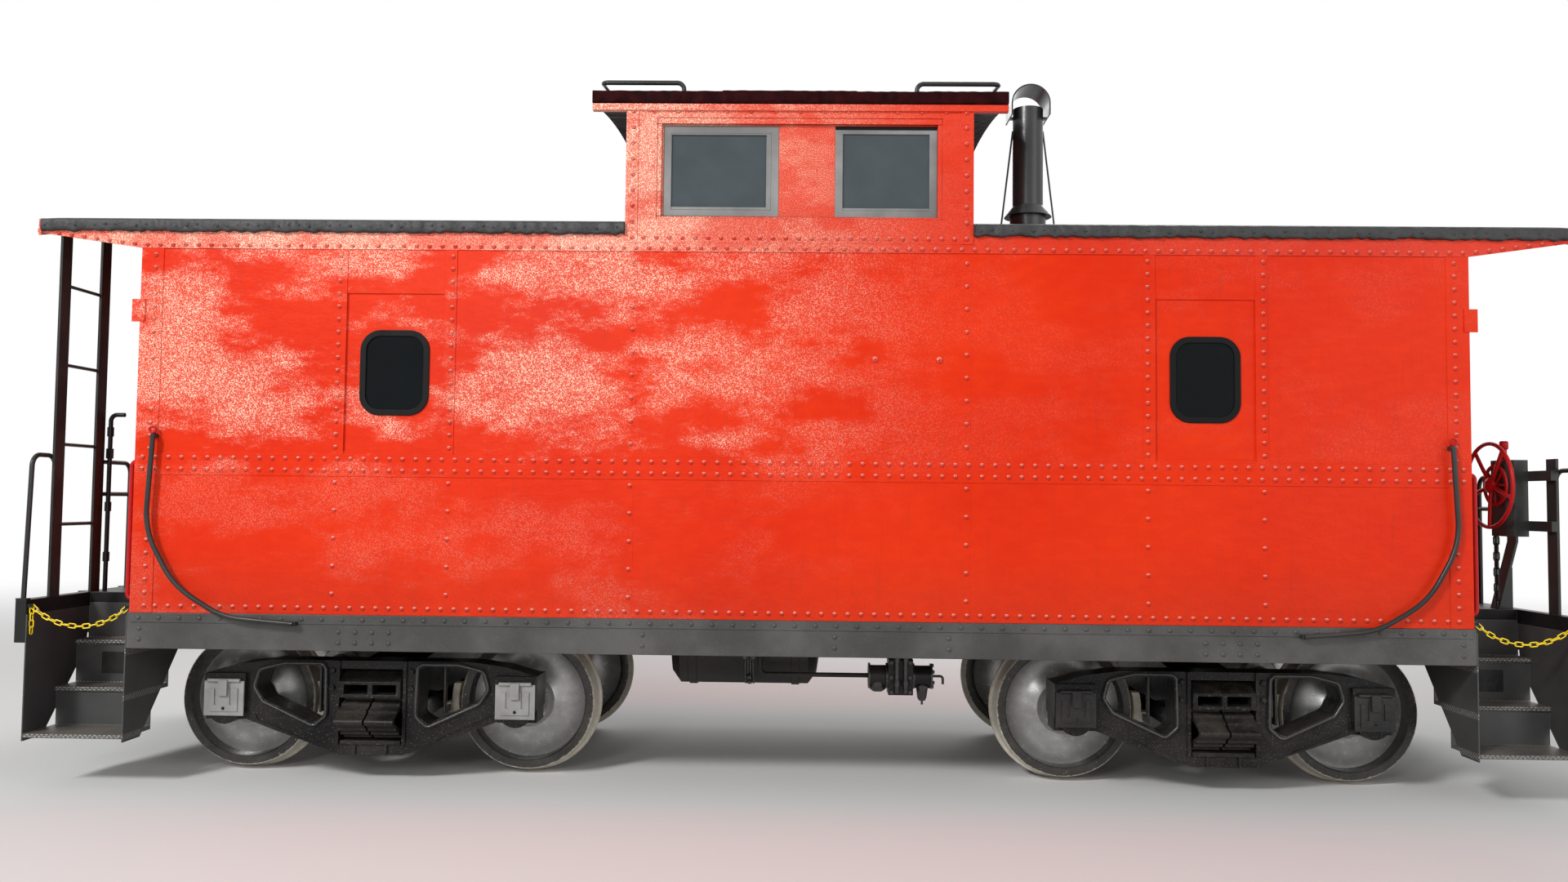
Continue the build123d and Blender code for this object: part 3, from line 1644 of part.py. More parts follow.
# Couplers: a head with its guard arm, a knuckle on a pin, and the shank that runs into the sill
head_x = coupler_face - head_length
head_outline = [
    (0, -shank_half[0]),
    (30, -108),
    (74, -172),
    (186, -176),
    (186, -64),
    (112, -30),
    (106, 36),
    (150, 92),
    (258, 138),
    (280, 186),
    (232, 194),
    (96, 150),
    (34, 96),
    (0, shank_half[0]),
]
knuckle_outline = [
    (100, -48),
    (96, -120),
    (118, -158),
    (160, -170),
    (226, -152),
    (264, -116),
    (280, -82),
    (280, -8),
    (268, 26),
    (238, 38),
    (224, -16),
    (196, -50),
]
with BuildPart() as coupler:
    block(
        (shank_inner, head_x),
        (-shank_half[0], shank_half[0]),
        (coupler_z - shank_half[1], coupler_z + shank_half[1]),
    )
    add(
        prism(
            Plane.XY.offset(coupler_z - head_half_height),
            [(head_x + x, y) for x, y in head_outline],
            2 * head_half_height,
        )
    )
    block(
        (head_x + knuckle_slot[0], head_x + head_length),
        knuckle_slot[1:],
        (coupler_z - knuckle_half_height - fit_gap, coupler_z + knuckle_half_height + fit_gap),
        mode=Mode.SUBTRACT,
    )
    bar(
        (coupler_face - knuckle_pin[0], -knuckle_pin[1], coupler_z - head_half_height),
        (0, 0, 1),
        knuckle_pin_radius + fit_gap,
        2 * head_half_height,
        mode=Mode.SUBTRACT,
    )
    add(
        prism(
            Plane.XY.offset(coupler_z - knuckle_half_height),
            [(head_x + x, y) for x, y in knuckle_outline],
            2 * knuckle_half_height,
        )
    )
    bar(
        (coupler_face - knuckle_pin[0], -knuckle_pin[1], coupler_z - head_half_height),
        (0, 0, 1),
        knuckle_pin_radius,
        2 * head_half_height + knuckle_pin_stand_out,
    )
with BuildPart() as couplers:
    both_ends(coupler.part)
finish(couplers, "couplers")

# Uncoupling levers along the end sills
lever_x = end_sill_x + lever_reach
with BuildPart() as lever:
    add(
        rod(
            [
                (lever_x, -lever_y[0], coupler_z + shank_half[1]),
                (lever_x, -lever_y[0], lever_z),
                (lever_x, -lever_y[1], lever_z),
                (lever_x, -lever_y[1], lever_z - lever_handle),
            ],
            lever_radius,
            lever_bend,
        )
    )
    for place in lever_brackets_y:
        block(
            (end_sill_x, lever_x),
            (-place - lever_radius, -place + lever_radius),
            (lever_z - lever_radius, lever_z + lever_radius),
        )
with BuildPart() as levers:
    both_ends(lever.part)
finish(levers, "uncoupling_levers")

# Air reservoir under the floor, held by two straps
reservoir_middle = (reservoir_x[0] + reservoir_x[1]) / 2
reservoir_half = (reservoir_x[1] - reservoir_x[0]) / 2
reservoir_profile = [
    (0, reservoir_half),
    (reservoir_radius - reservoir_dome, reservoir_half - reservoir_dome / 4),
    (reservoir_radius, reservoir_half - reservoir_dome),
]
with BuildPart() as tank:
    with BuildSketch(Plane.XY):
        with BuildLine():
            Polyline(*reservoir_profile, *[(r, -x) for r, x in reversed(reservoir_profile)], close=True)
        make_face()
    revolve(axis=Axis.Y)
strap_radius = reservoir_radius + strap_thickness
with BuildPart() as reservoir:
    with Locations(Location((reservoir_middle, -reservoir_y, reservoir_z), (0, 0, 90))):
        add(tank.part)
    for place in (reservoir_x[0] + strap_inset, reservoir_x[1] - strap_inset):
        bar((place - strap_width / 2, -reservoir_y, reservoir_z), (1, 0, 0), strap_radius, strap_width)
        for side in (-1, 1):
            block(
                (place - strap_width / 2, place + strap_width / 2),
                sorted(side * r - reservoir_y for r in (strap_radius, strap_radius - strap_thickness)),
                (reservoir_z, floor_top - floor_thickness),
            )
finish(reservoir, "air_reservoir")

# Brake cylinder on the far side with its push rod, and the control valve on the near side
floor_under = floor_top - floor_thickness
with BuildPart() as brake_gear:
    bar((cylinder_x[0], cylinder_y, cylinder_z), (1, 0, 0), cylinder_radius, cylinder_x[1] - cylinder_x[0])
    bar(
        (cylinder_x[1] - cylinder_flange, cylinder_y, cylinder_z),
        (1, 0, 0),
        cylinder_radius + cylinder_flange,
        cylinder_flange,
    )
    add(
        rod(
            [
                (cylinder_x[1], cylinder_y, cylinder_z),
                (cylinder_x[1] + push_rod_length, cylinder_y, cylinder_z),
                (cylinder_x[1] + push_rod_length, 0, cylinder_z),
            ],
            push_rod_radius,
            push_rod_bend,
        )
    )
    for place in (cylinder_x[0] + strap_inset / 2, cylinder_x[1] - strap_inset / 2):
        block(
            (place - strap_width / 2, place + strap_width / 2),
            (cylinder_y - strap_width, cylinder_y + strap_width),
            (cylinder_z, floor_under),
        )
    block(
        (valve_x - valve_body / 2, valve_x + valve_body / 2),
        (-valve_y - valve_body / 2, -valve_y + valve_body / 2),
        valve_z,
    )
    for side in (-1, 1):
        with BuildSketch(Plane.YZ.offset(valve_x + side * valve_body / 2)):
            with Locations((-valve_y, (valve_z[0] + valve_z[1]) / 2)):
                RegularPolygon(valve_port_radius, 12)
        extrude(amount=side * valve_port_length)
    block(
        (valve_x - strap_width, valve_x + strap_width),
        (-valve_y - strap_thickness, -valve_y + strap_thickness),
        (valve_z[1], floor_under),
    )
finish(brake_gear, "brake_gear")

# Air pipes: the train pipe with a cock at each end, the control valve's pipe, and the pipe up
# beside each ladder to the valve on the platform
train_run = [
    (angle_cock_x, -train_pipe_y, train_pipe_z),
    (train_pipe_crossing, -train_pipe_y, train_pipe_z),
    (train_pipe_crossing, train_pipe_y, train_pipe_z),
    (-angle_cock_x, train_pipe_y, train_pipe_z),
]
with BuildPart() as end_pipes:
    block(
        (angle_cock_x - cock_size / 2, angle_cock_x + cock_size / 2),
        (-train_pipe_y - cock_size / 2, -train_pipe_y + cock_size / 2),
        (train_pipe_z - cock_size / 2, train_pipe_z + cock_size / 2),
    )
    pipe_x = platform_x - platform_pipe_radius
    pipe_y = ladder_y[0] - post_half - platform_pipe_gap
    add(
        rod(
            [
                (pipe_x, pipe_y, floor_top),
                (pipe_x, pipe_y, platform_pipe_z),
                (pipe_x - platform_pipe_elbow, pipe_y, platform_pipe_z),
            ],
            platform_pipe_radius,
            platform_pipe_bend,
        )
    )
    for height in railing_z:
        block(
            (pipe_x, post_face),
            (pipe_y, ladder_y[0] - post_half),
            (height - bracket_plate, height + bracket_plate),
        )
    block(
        (pipe_x - cock_size / 4, pipe_x + cock_size / 4),
        (pipe_y - cock_size / 4, pipe_y + cock_size / 4),
        (platform_cock_z - cock_size / 2, platform_cock_z + cock_size / 2),
    )
with BuildPart() as air_pipes:
    add(rod(train_run, train_pipe_radius, train_pipe_bend))
    both_ends(end_pipes.part)
    add(
        rod(
            [
                (valve_pipe_x, -valve_y, floor_under),
                (valve_pipe_x, -valve_y, (valve_z[0] + valve_z[1]) / 2),
                (valve_x - valve_body / 2 - valve_port_length, -valve_y, (valve_z[0] + valve_z[1]) / 2),
            ],
            valve_pipe_radius,
            platform_pipe_bend,
        )
    )
finish(air_pipes, "air_pipes")
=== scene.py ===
"""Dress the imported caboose: its paint, rivets, rails, chains, wheels and glass, on a pale floor."""
import json
import logging
import math
from collections.abc import Callable, Sequence
from dataclasses import dataclass
from enum import Enum

import bmesh
import bpy
import numpy as np
from mathutils import Matrix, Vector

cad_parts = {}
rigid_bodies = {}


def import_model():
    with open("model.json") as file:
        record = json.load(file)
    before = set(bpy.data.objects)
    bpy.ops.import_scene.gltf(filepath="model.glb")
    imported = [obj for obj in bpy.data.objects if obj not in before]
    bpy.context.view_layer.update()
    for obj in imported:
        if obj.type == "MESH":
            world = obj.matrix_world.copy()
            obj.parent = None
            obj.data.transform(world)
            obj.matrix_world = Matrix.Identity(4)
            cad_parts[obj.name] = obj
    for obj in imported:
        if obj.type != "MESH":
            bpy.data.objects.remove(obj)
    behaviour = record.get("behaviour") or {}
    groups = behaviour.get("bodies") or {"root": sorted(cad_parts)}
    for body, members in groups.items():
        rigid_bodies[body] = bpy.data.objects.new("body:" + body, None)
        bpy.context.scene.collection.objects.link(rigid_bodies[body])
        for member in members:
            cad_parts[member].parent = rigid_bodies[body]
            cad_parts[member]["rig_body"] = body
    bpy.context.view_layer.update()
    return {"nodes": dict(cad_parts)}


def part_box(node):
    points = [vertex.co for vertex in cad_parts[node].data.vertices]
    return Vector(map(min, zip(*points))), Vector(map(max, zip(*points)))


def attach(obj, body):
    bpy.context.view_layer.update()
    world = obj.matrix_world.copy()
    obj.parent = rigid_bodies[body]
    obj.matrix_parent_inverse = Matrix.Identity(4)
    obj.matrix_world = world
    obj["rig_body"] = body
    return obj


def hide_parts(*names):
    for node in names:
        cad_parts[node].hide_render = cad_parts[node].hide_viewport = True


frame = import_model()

log = logging.getLogger("caboose")
Point = tuple[float, float, float]
Colour = tuple[float, float, float]
Span = tuple[float, float]

# Sizes shared with the solids, in metres
BODY_HALF = 3.836
SIDE = 1.420
STRIP = 0.005
FASCIA = 0.008
DECK = 1.085
POST_FACE = 4.456
AXLES = {"1": -3.395, "2": -1.655, "3": 1.655, "4": 3.395}
TRUCKS = {"a": -2.525, "b": 2.525}
AXLE_HEIGHT = 0.445
CHAIN_Y = -1.400
CHAIN_ENDS = (3.858, 4.418)
CHAIN_WIRE = 0.0036
CHAIN_WIDTH = 0.031
LEVER_TOP = (4.330, -0.870, 2.090)

# Rivet heads and how far apart they are
RIVET_RADIUS = 0.0145
RIVET_HEIGHT = 0.0095
RIVET_PITCH = 0.0755

# Points nearer than these, in metres, become one, on new pieces and on the solids' copies
MERGE_NEW = 1e-6
MERGE_SOLID = 2e-5
SLIVER = 1e-7

# Faces of a solid's copy that turn less than this, in degrees, become one
FLAT = 0.6

# A path that turns less than this at a corner, in radians, runs straight on
STRAIGHT = 1e-4

# Places on the car that a shape is copied to
CORNERS = ((-1, -1), (-1, 1), (1, -1), (1, 1))
HALF_TURN = np.diag((-1.0, -1.0, 1.0))
MIRROR = np.diag((1.0, -1.0, 1.0))

# Colours of dirt and soot, and the painted shade of the unlit cabin behind the glass
GRIME = (0.09, 0.040, 0.025)
ROAD_DUST = (0.17, 0.135, 0.10)
SOOT_BLACK = (0.0065, 0.0065, 0.007)
CABIN_SHADE = (0.006, 0.008, 0.009)


class Body(Enum):
    """The bodies that pieces ride on."""

    CAR = "carbody"
    TRUCK_A = "truck_a"
    TRUCK_B = "truck_b"
    WHEELSET_1 = "wheelset_1"
    WHEELSET_2 = "wheelset_2"
    WHEELSET_3 = "wheelset_3"
    WHEELSET_4 = "wheelset_4"
    DOOR_A = "door_leaf_a"
    DOOR_B = "door_leaf_b"


class Coat(Enum):
    """A finish by name, with the record's material slot that it stands for."""

    WALL = ("red_wall_paint", "red_paint")
    ROOFLINE = ("red_roofline_paint", "red_paint")
    RIVET = ("rivet_red", "red_paint")
    GLOSS_IRON = ("bright_red_gloss", "red_paint")
    GLOSS_RED = ("bright_red_gloss", "bright_red_paint")
    MAROON = ("maroon_roof_coat", "maroon_paint")
    SASH = ("sash_grey", "grey_paint")
    SEAL = ("window_seal", "window_rubber")
    PANE = ("door_glass", "glass")
    ROOF = ("roof_coat", "roof_black")
    JACK = ("jack_paint", "black_paint")
    RAIL = ("black_rail_paint", "black_paint")
    FRAME = ("black_frame_paint", "black_paint")
    SILL = ("sill_paint", "black_paint")
    STEP = ("step_plate", "black_paint")
    SIGN = ("lid_black", "black_paint")
    FITTING = ("bead_black", "black_paint")
    NOSING = ("nosing_steel", "steel")
    CHAIN = ("chain_yellow", "yellow_plastic")
    TIE = ("tie_white", "yellow_plastic")
    CAST = ("cast_truck_black", "cast_steel")
    BEAD = ("bead_black", "cast_steel")
    BRAKES = ("brake_parts", "cast_steel")
    SPRING = ("spring_black", "spring_steel")
    LID_A = ("lid_silver", "lid_steel")
    LID_B = ("lid_black", "lid_steel")
    AXLE = ("axle_steel", "axle_steel")
    WHEEL_1 = ("wheel_steel_1", "wheel_steel")
    WHEEL_2 = ("wheel_steel_2", "wheel_steel")
    WHEEL_3 = ("wheel_steel_3", "wheel_steel")
    WHEEL_4 = ("wheel_steel_4", "wheel_steel")


@dataclass
class Shape:
    """Points and faces of a surface, held as whole arrays."""

    points: np.ndarray
    faces: list[np.ndarray]

    def moved(self, offset: Sequence[float]) -> "Shape":
        """Return the shape shifted by an offset."""
        return Shape(self.points + np.asarray(offset, float), self.faces)

    def turned(self, matrix: np.ndarray) -> "Shape":
        """Return the shape turned by a 3 by 3 matrix; a mirror also turns the faces round."""
        faces = [f[:, ::-1] for f in self.faces] if np.linalg.det(matrix) < 0 else self.faces
        return Shape(self.points @ np.asarray(matrix, float).T, faces)

    def at_corners(self) -> "Shape":
        """Return the shape at all four corners of the car, given the one at +X, -Y."""
        return join([self.turned(np.diag((x, -y, 1.0))) for x, y in CORNERS])

    def at_ends(self) -> "Shape":
        """Return the shape and its copy turned half round the car's middle."""
        return join([self, self.turned(HALF_TURN)])

    def both_sides(self) -> "Shape":
        """Return the shape and its mirror image across the car."""
        return join([self, self.turned(MIRROR)])


def join(shapes: Sequence[Shape]) -> Shape:
    """Put shapes together, with each one's face numbers shifted by the points before it.

    Args:
        shapes: the shapes.

    Returns:
        One shape.
    """
    starts = np.cumsum([0] + [len(s.points) for s in shapes])
    faces = [f + start for s, start in zip(shapes, starts) for f in s.faces]
    return Shape(np.concatenate([s.points for s in shapes]), faces)


def grid_faces(rows: int, cols: int, wrap_rows: bool = False, wrap_cols: bool = False) -> np.ndarray:
    """Number the faces of a grid: face (i, j) joins (i, j), (i, j+1), (i+1, j+1) and (i+1, j).

    Args:
        rows: how many lines of points the grid has.
        cols: how many points a line has.
        wrap_rows: whether the last line joins the first.
        wrap_cols: whether each line's last point joins its first.

    Returns:
        The point numbers of each four-cornered face.
    """
    i = np.arange(rows if wrap_rows else rows - 1)[:, None]
    j = np.arange(cols if wrap_cols else cols - 1)[None, :]
    below, beside = (i + 1) % rows, (j + 1) % cols
    corners = [i * cols + j, i * cols + beside, below * cols + beside, below * cols + j]
    return np.stack(corners, axis=-1).reshape(-1, 4)


def around(count: int) -> np.ndarray:
    """Return evenly spaced angles of a full turn."""
    return np.linspace(0, 2 * np.pi, count, endpoint=False)


def circle(radius: float, count: int, plane: str = "xy") -> np.ndarray:
    """Place points radius * (cos a, sin a) in a plane through the origin.

    Args:
        radius: the circle's radius.
        count: how many points it has.
        plane: the plane's two axes.

    Returns:
        The points.
    """
    path = np.zeros((count, 3))
    path[:, "xyz".index(plane[0])] = radius * np.cos(around(count))
    path[:, "xyz".index(plane[1])] = radius * np.sin(around(count))
    return path


def rounded_path(points: Sequence[Point], bend: float, steps: int = 8) -> np.ndarray:
    """Turn a path's corners into arcs of one radius.

    Between unit directions u and v an angle apart, the arc's centre is at
    corner + (v - u) / |v - u| * bend / cos(angle / 2), and its point at a turn of t is
    centre + start * cos t + u * bend * sin t, with start the first point as seen from the centre.

    Args:
        points: the path's corners.
        bend: the arcs' radius.
        steps: how many pieces an arc has.

    Returns:
        The path's points.
    """
    knots = np.asarray(points, float)
    pieces = [knots[:1]]
    for before, corner, after in zip(knots[:-2], knots[1:-1], knots[2:]):
        u = (corner - before) / np.linalg.norm(corner - before)
        v = (after - corner) / np.linalg.norm(after - corner)
        angle = math.acos(float(np.clip(u @ v, -1, 1)))
        if angle < STRAIGHT or bend <= 0:
            pieces.append(corner[None])
            continue
        centre = corner + (v - u) / np.linalg.norm(v - u) * bend / math.cos(angle / 2)
        start = corner - u * bend * math.tan(angle / 2) - centre
        t = np.linspace(0, angle, steps + 1)[:, None]
        pieces.append(centre + start * np.cos(t) + u * bend * np.sin(t))
    return np.concatenate([*pieces, knots[-1:]])


def loop(corners: Sequence[Point], bend: float) -> np.ndarray:
    """Close a path through corners that are arcs of one radius, begun at the middle of a side.

    Args:
        corners: the corners in order.
        bend: the arcs' radius.

    Returns:
        The closed path's points, without the first one again at its end.
    """
    knots = np.asarray(corners, float)
    start = (knots[0] + knots[1]) / 2
    return rounded_path([start, *knots[1:], knots[0], start], bend, 5)[:-1]


def tube(points: Sequence[Point], radius: float, bend: float = 0.0, sides: int = 14) -> Shape:
    """Bend a round bar along a path.

    A point is path(i) + radius * (cos(a) * n1(i) + sin(a) * n2(i)), where n1 is one fixed
    direction made square to the path and n2 is square to both. Each end is closed by a ring
    drawn in to 0.7 of the radius and one point at its middle.

    Args:
        points: the path's corners.
        radius: the bar's radius.
        bend: the radius of the path's arcs.
        sides: how many sides the bar has.

    Returns:
        The closed bar.
    """
    path = rounded_path(points, bend)
    ahead = np.gradient(path, axis=0)
    ahead /= np.linalg.norm(ahead, axis=1, keepdims=True)
    trials = np.array([(1, 0, 0), (0, 1, 0), (0, 0, 1), (0.6, 0.8, 0), (0.6, 0, 0.8), (0, 0.6, 0.8)], float)
    fixed = trials[np.argmin(np.abs(ahead @ trials.T).max(axis=0))]
    n1 = fixed - (ahead @ fixed)[:, None] * ahead
    n1 /= np.linalg.norm(n1, axis=1, keepdims=True)
    n2 = np.cross(ahead, n1)
    shares = np.concatenate([[0.0, 0.7], np.ones(len(path)), [0.7, 0.0]])
    rows = np.concatenate([[0, 0], np.arange(len(path)), [len(path) - 1] * 2])
    turn = around(sides)[None, :, None]
    ring = np.cos(turn) * n1[rows][:, None] + np.sin(turn) * n2[rows][:, None]
    grid = path[rows][:, None] + radius * shares[:, None, None] * ring
    return Shape(grid.reshape(-1, 3), [grid_faces(len(rows), sides, wrap_cols=True)])


def ring_tube(path: np.ndarray, radius: float, sides: int) -> Shape:
    """Carry round wire along a closed flat path.

    A point is path(i) + radius * (cos(a) * out(i) + sin(a) * n), where n is square to the path's
    own plane, and out is square to n and to the path.

    Args:
        path: the closed path's points.
        radius: the wire's radius.
        sides: how many sides the wire has.

    Returns:
        The ring.
    """
    ahead = np.roll(path, -1, axis=0) - np.roll(path, 1, axis=0)
    ahead /= np.linalg.norm(ahead, axis=1, keepdims=True)
    middle = path.mean(axis=0)
    normal = np.cross(path[0] - middle, path[len(path) // 4] - middle)
    normal /= np.linalg.norm(normal)
    turn = around(sides)[None, :, None]
    ring = np.cos(turn) * np.cross(ahead, normal)[:, None] + np.sin(turn) * normal
    grid = path[:, None] + radius * ring
    return Shape(grid.reshape(-1, 3), [grid_faces(len(path), sides, True, True)[:, ::-1]])


def lathe(profile: Sequence[Span], sides: int = 96, closed: bool = False) -> Shape:
    """Turn a profile about Z: (r cos a, r sin a, z) for each of its points (r, z).

    Args:
        profile: the points, from below on the outside upwards.
        sides: how many steps the turn has.
        closed: whether the last point joins the first.

    Returns:
        The turned surface.
    """
    rz = np.asarray(profile, float)
    grid = rz[:, None, :1] * circle(1.0, sides)[None] + rz[:, None, 1:] * np.array([0.0, 0.0, 1.0])
    return Shape(grid.reshape(-1, 3), [grid_faces(len(rz), sides, closed, True)[:, ::-1]])


def facing(axis: Sequence[float]) -> np.ndarray:
    """Work out the matrix that turns +Z to an axis.

    Args:
        axis: the axis, of any length.

    Returns:
        The 3 by 3 matrix.
    """
    z = np.asarray(axis, float) / np.linalg.norm(axis)
    x = np.cross((0, 1, 0) if abs(z[1]) < 0.9 else (1, 0, 0), z)
    x /= np.linalg.norm(x)
    return np.stack([x, np.cross(z, x), z], axis=1)


# Turns a head that stands up so that it stands out of the near side, or out of the +X end
TO_NEAR = facing((0, -1, 0))
TO_END = facing((1, 0, 0))


def copies(unit: Shape, places: np.ndarray | Sequence[Point]) -> Shape:
    """Copy one shape to many places: place(k) + point(i), with the faces repeated for each k.

    Args:
        unit: the shape.
        places: the offsets.

    Returns:
        All the copies as one shape.
    """
    spots = np.asarray(places, float).reshape(-1, 3)
    points = (spots[:, None] + unit.points[None]).reshape(-1, 3)
    step = np.arange(len(spots))[:, None, None] * len(unit.points)
    return Shape(points, [(f[None] + step).reshape(-1, f.shape[1]) for f in unit.faces])


def dome(radius: float, height: float, sides: int = 8) -> Shape:
    """Return a rivet head about +Z: rings of radius r cos(b) at height h sin(b), closed at its top."""
    b = np.radians([0, 28, 56, 82])
    return lathe(np.stack([radius * np.cos(b), height * np.sin(b)], axis=1), sides)


def hex_head(width: float, height: float) -> Shape:
    """Return a hexagonal bolt head about +Z with a chamfered top."""
    r = width / math.sqrt(3)
    return lathe([(r, 0), (r, height * 0.8), (r * 0.84, height), (0.0, height)], 6)


def sleeve(inner: float, outer: float, low: float, high: float, sides: int, lined: bool = False) -> Shape:
    """Return a ring of square section about Z, lined inside where no bar fills it."""
    return lathe([(inner, low), (outer, low), (outer, high), (inner, high)], sides, closed=lined)


def boxes(ranges: Sequence[tuple[Point, Point]]) -> Shape:
    """Make straight-sided blocks: corner k takes low or high on each axis by the bits of k.

    Args:
        ranges: each block's low and high corner.

    Returns:
        All the blocks as one shape.
    """
    bits = np.array([(k & 1, k >> 1 & 1, k >> 2 & 1) for k in range(8)], float)
    low, high = (np.array([r[end] for r in ranges], float)[:, None] for end in (0, 1))
    face = np.array([(0, 2, 3, 1), (4, 5, 7, 6), (0, 1, 5, 4), (2, 6, 7, 3), (0, 4, 6, 2), (1, 3, 7, 5)])
    step = np.arange(len(ranges))[:, None, None] * 8
    return Shape((low + (high - low) * bits[None]).reshape(-1, 3), [(face[None] + step).reshape(-1, 4)])


def along(start: float, end: float, pitch: float = RIVET_PITCH) -> np.ndarray:
    """Return evenly spaced places from start to end, as near to a pitch as fits."""
    return np.linspace(start, end, max(2, int(round(abs(end - start) / pitch)) + 1))


def row(x: Sequence[float] | float, y: float, z: Sequence[float] | float) -> np.ndarray:
    """Return the points of a row or a lattice of rivets from its places along X and Z."""
    xs, zs = np.meshgrid(np.atleast_1d(x), np.atleast_1d(z))
    return np.stack([xs.ravel(), np.full(xs.size, y), zs.ravel()], axis=1)


def math_operator(operation: str, turned: bool = False) -> Callable[["Value", "Value | float"], "Value"]:
    """Make an operator that adds one Math node.

    Args:
        operation: the Math node's operation.
        turned: whether the other term comes first, as in a reflected form.

    Returns:
        The operator, as a method of Value.
    """

    def operator(self: "Value", other: "Value | float") -> "Value":
        """Return the Math node's value."""
        return self.math(operation, *((other, self) if turned else (self, other)))

    return operator


class Value:
    """A socket that carries a number or a colour; operators on it add Math nodes."""

    def __init__(self, tree: "Tree", socket: bpy.types.NodeSocket) -> None:
        """Keep the tree and the output socket."""
        self.tree = tree
        self.socket = socket

    def math(self, operation: str, *terms: "Value | float") -> "Value":
        """Return a Math node on the terms given, or on this value alone if there are none."""
        return self.tree.node("ShaderNodeMath", {"operation": operation}, dict(enumerate(terms or (self,))))

    __add__, __radd__ = math_operator("ADD"), math_operator("ADD", True)
    __sub__, __rsub__ = math_operator("SUBTRACT"), math_operator("SUBTRACT", True)
    __mul__, __rmul__ = math_operator("MULTIPLY"), math_operator("MULTIPLY", True)
    __truediv__, __rtruediv__ = math_operator("DIVIDE"), math_operator("DIVIDE", True)
    __pow__, __rpow__ = math_operator("POWER"), math_operator("POWER", True)
    lesser = math_operator("MINIMUM")

    def rise(self, low: float, high: float) -> "Value":
        """Make a soft step from 0 to 1, or a falling one if low is the larger.

        Args:
            low: where it is still 0.
            high: where it comes to 1.

        Returns:
            The step.
        """
        ends = (high, low, 1.0, 0.0) if low > high else (low, high, 0.0, 1.0)
        values = dict(zip(("Value", "From Min", "From Max", "To Min", "To Max"), (self, *ends)))
        return self.tree.node("ShaderNodeMapRange", {"interpolation_type": "SMOOTHSTEP"}, values)


class Tree:
    """A node tree, with the one method that adds its nodes."""

    def __init__(self, tree: bpy.types.NodeTree) -> None:
        """Keep the tree."""
        self.tree = tree

    def node(
        self, kind: str, settings: dict | None = None, values: dict | None = None, out: str | int | None = 0
    ) -> Value | bpy.types.Node:
        """Add any node.

        Args:
            kind: the node's type name.
            settings: its properties, which are set first.
            values: its sockets by name or number, each a Value to link or a plain value.
            out: the output to return, or None for the node itself.

        Returns:
            The output as a Value, or the node.
        """
        node = self.tree.nodes.new(kind)
        for key, setting in (settings or {}).items():
            setattr(node, key, setting)
        for key, value in (values or {}).items():
            self.feed(node.inputs[key], value)
        return node if out is None else Value(self, node.outputs[out])

    def feed(self, socket: bpy.types.NodeSocket, value: Value | float | Sequence[float]) -> None:
        """Link a socket to a Value, or set it to a plain value.

        Args:
            socket: the socket.
            value: what it gets.
        """
        if isinstance(value, Value):
            self.tree.links.new(value.socket, socket)
        else:
            socket.default_value = value

    def seen(self) -> Value:
        """Tell the rays that show the background to the camera, also by gloss or glass.

        Returns:
            1 for those rays, and 0 for the rest.
        """
        paths = self.node("ShaderNodeLightPath", out=None)
        names = ("Is Camera Ray", "Is Glossy Ray", "Is Transmission Ray")
        camera, glossy, through = (Value(self, paths.outputs[name]) for name in names)
        return (camera + glossy + through).lesser(1.0)


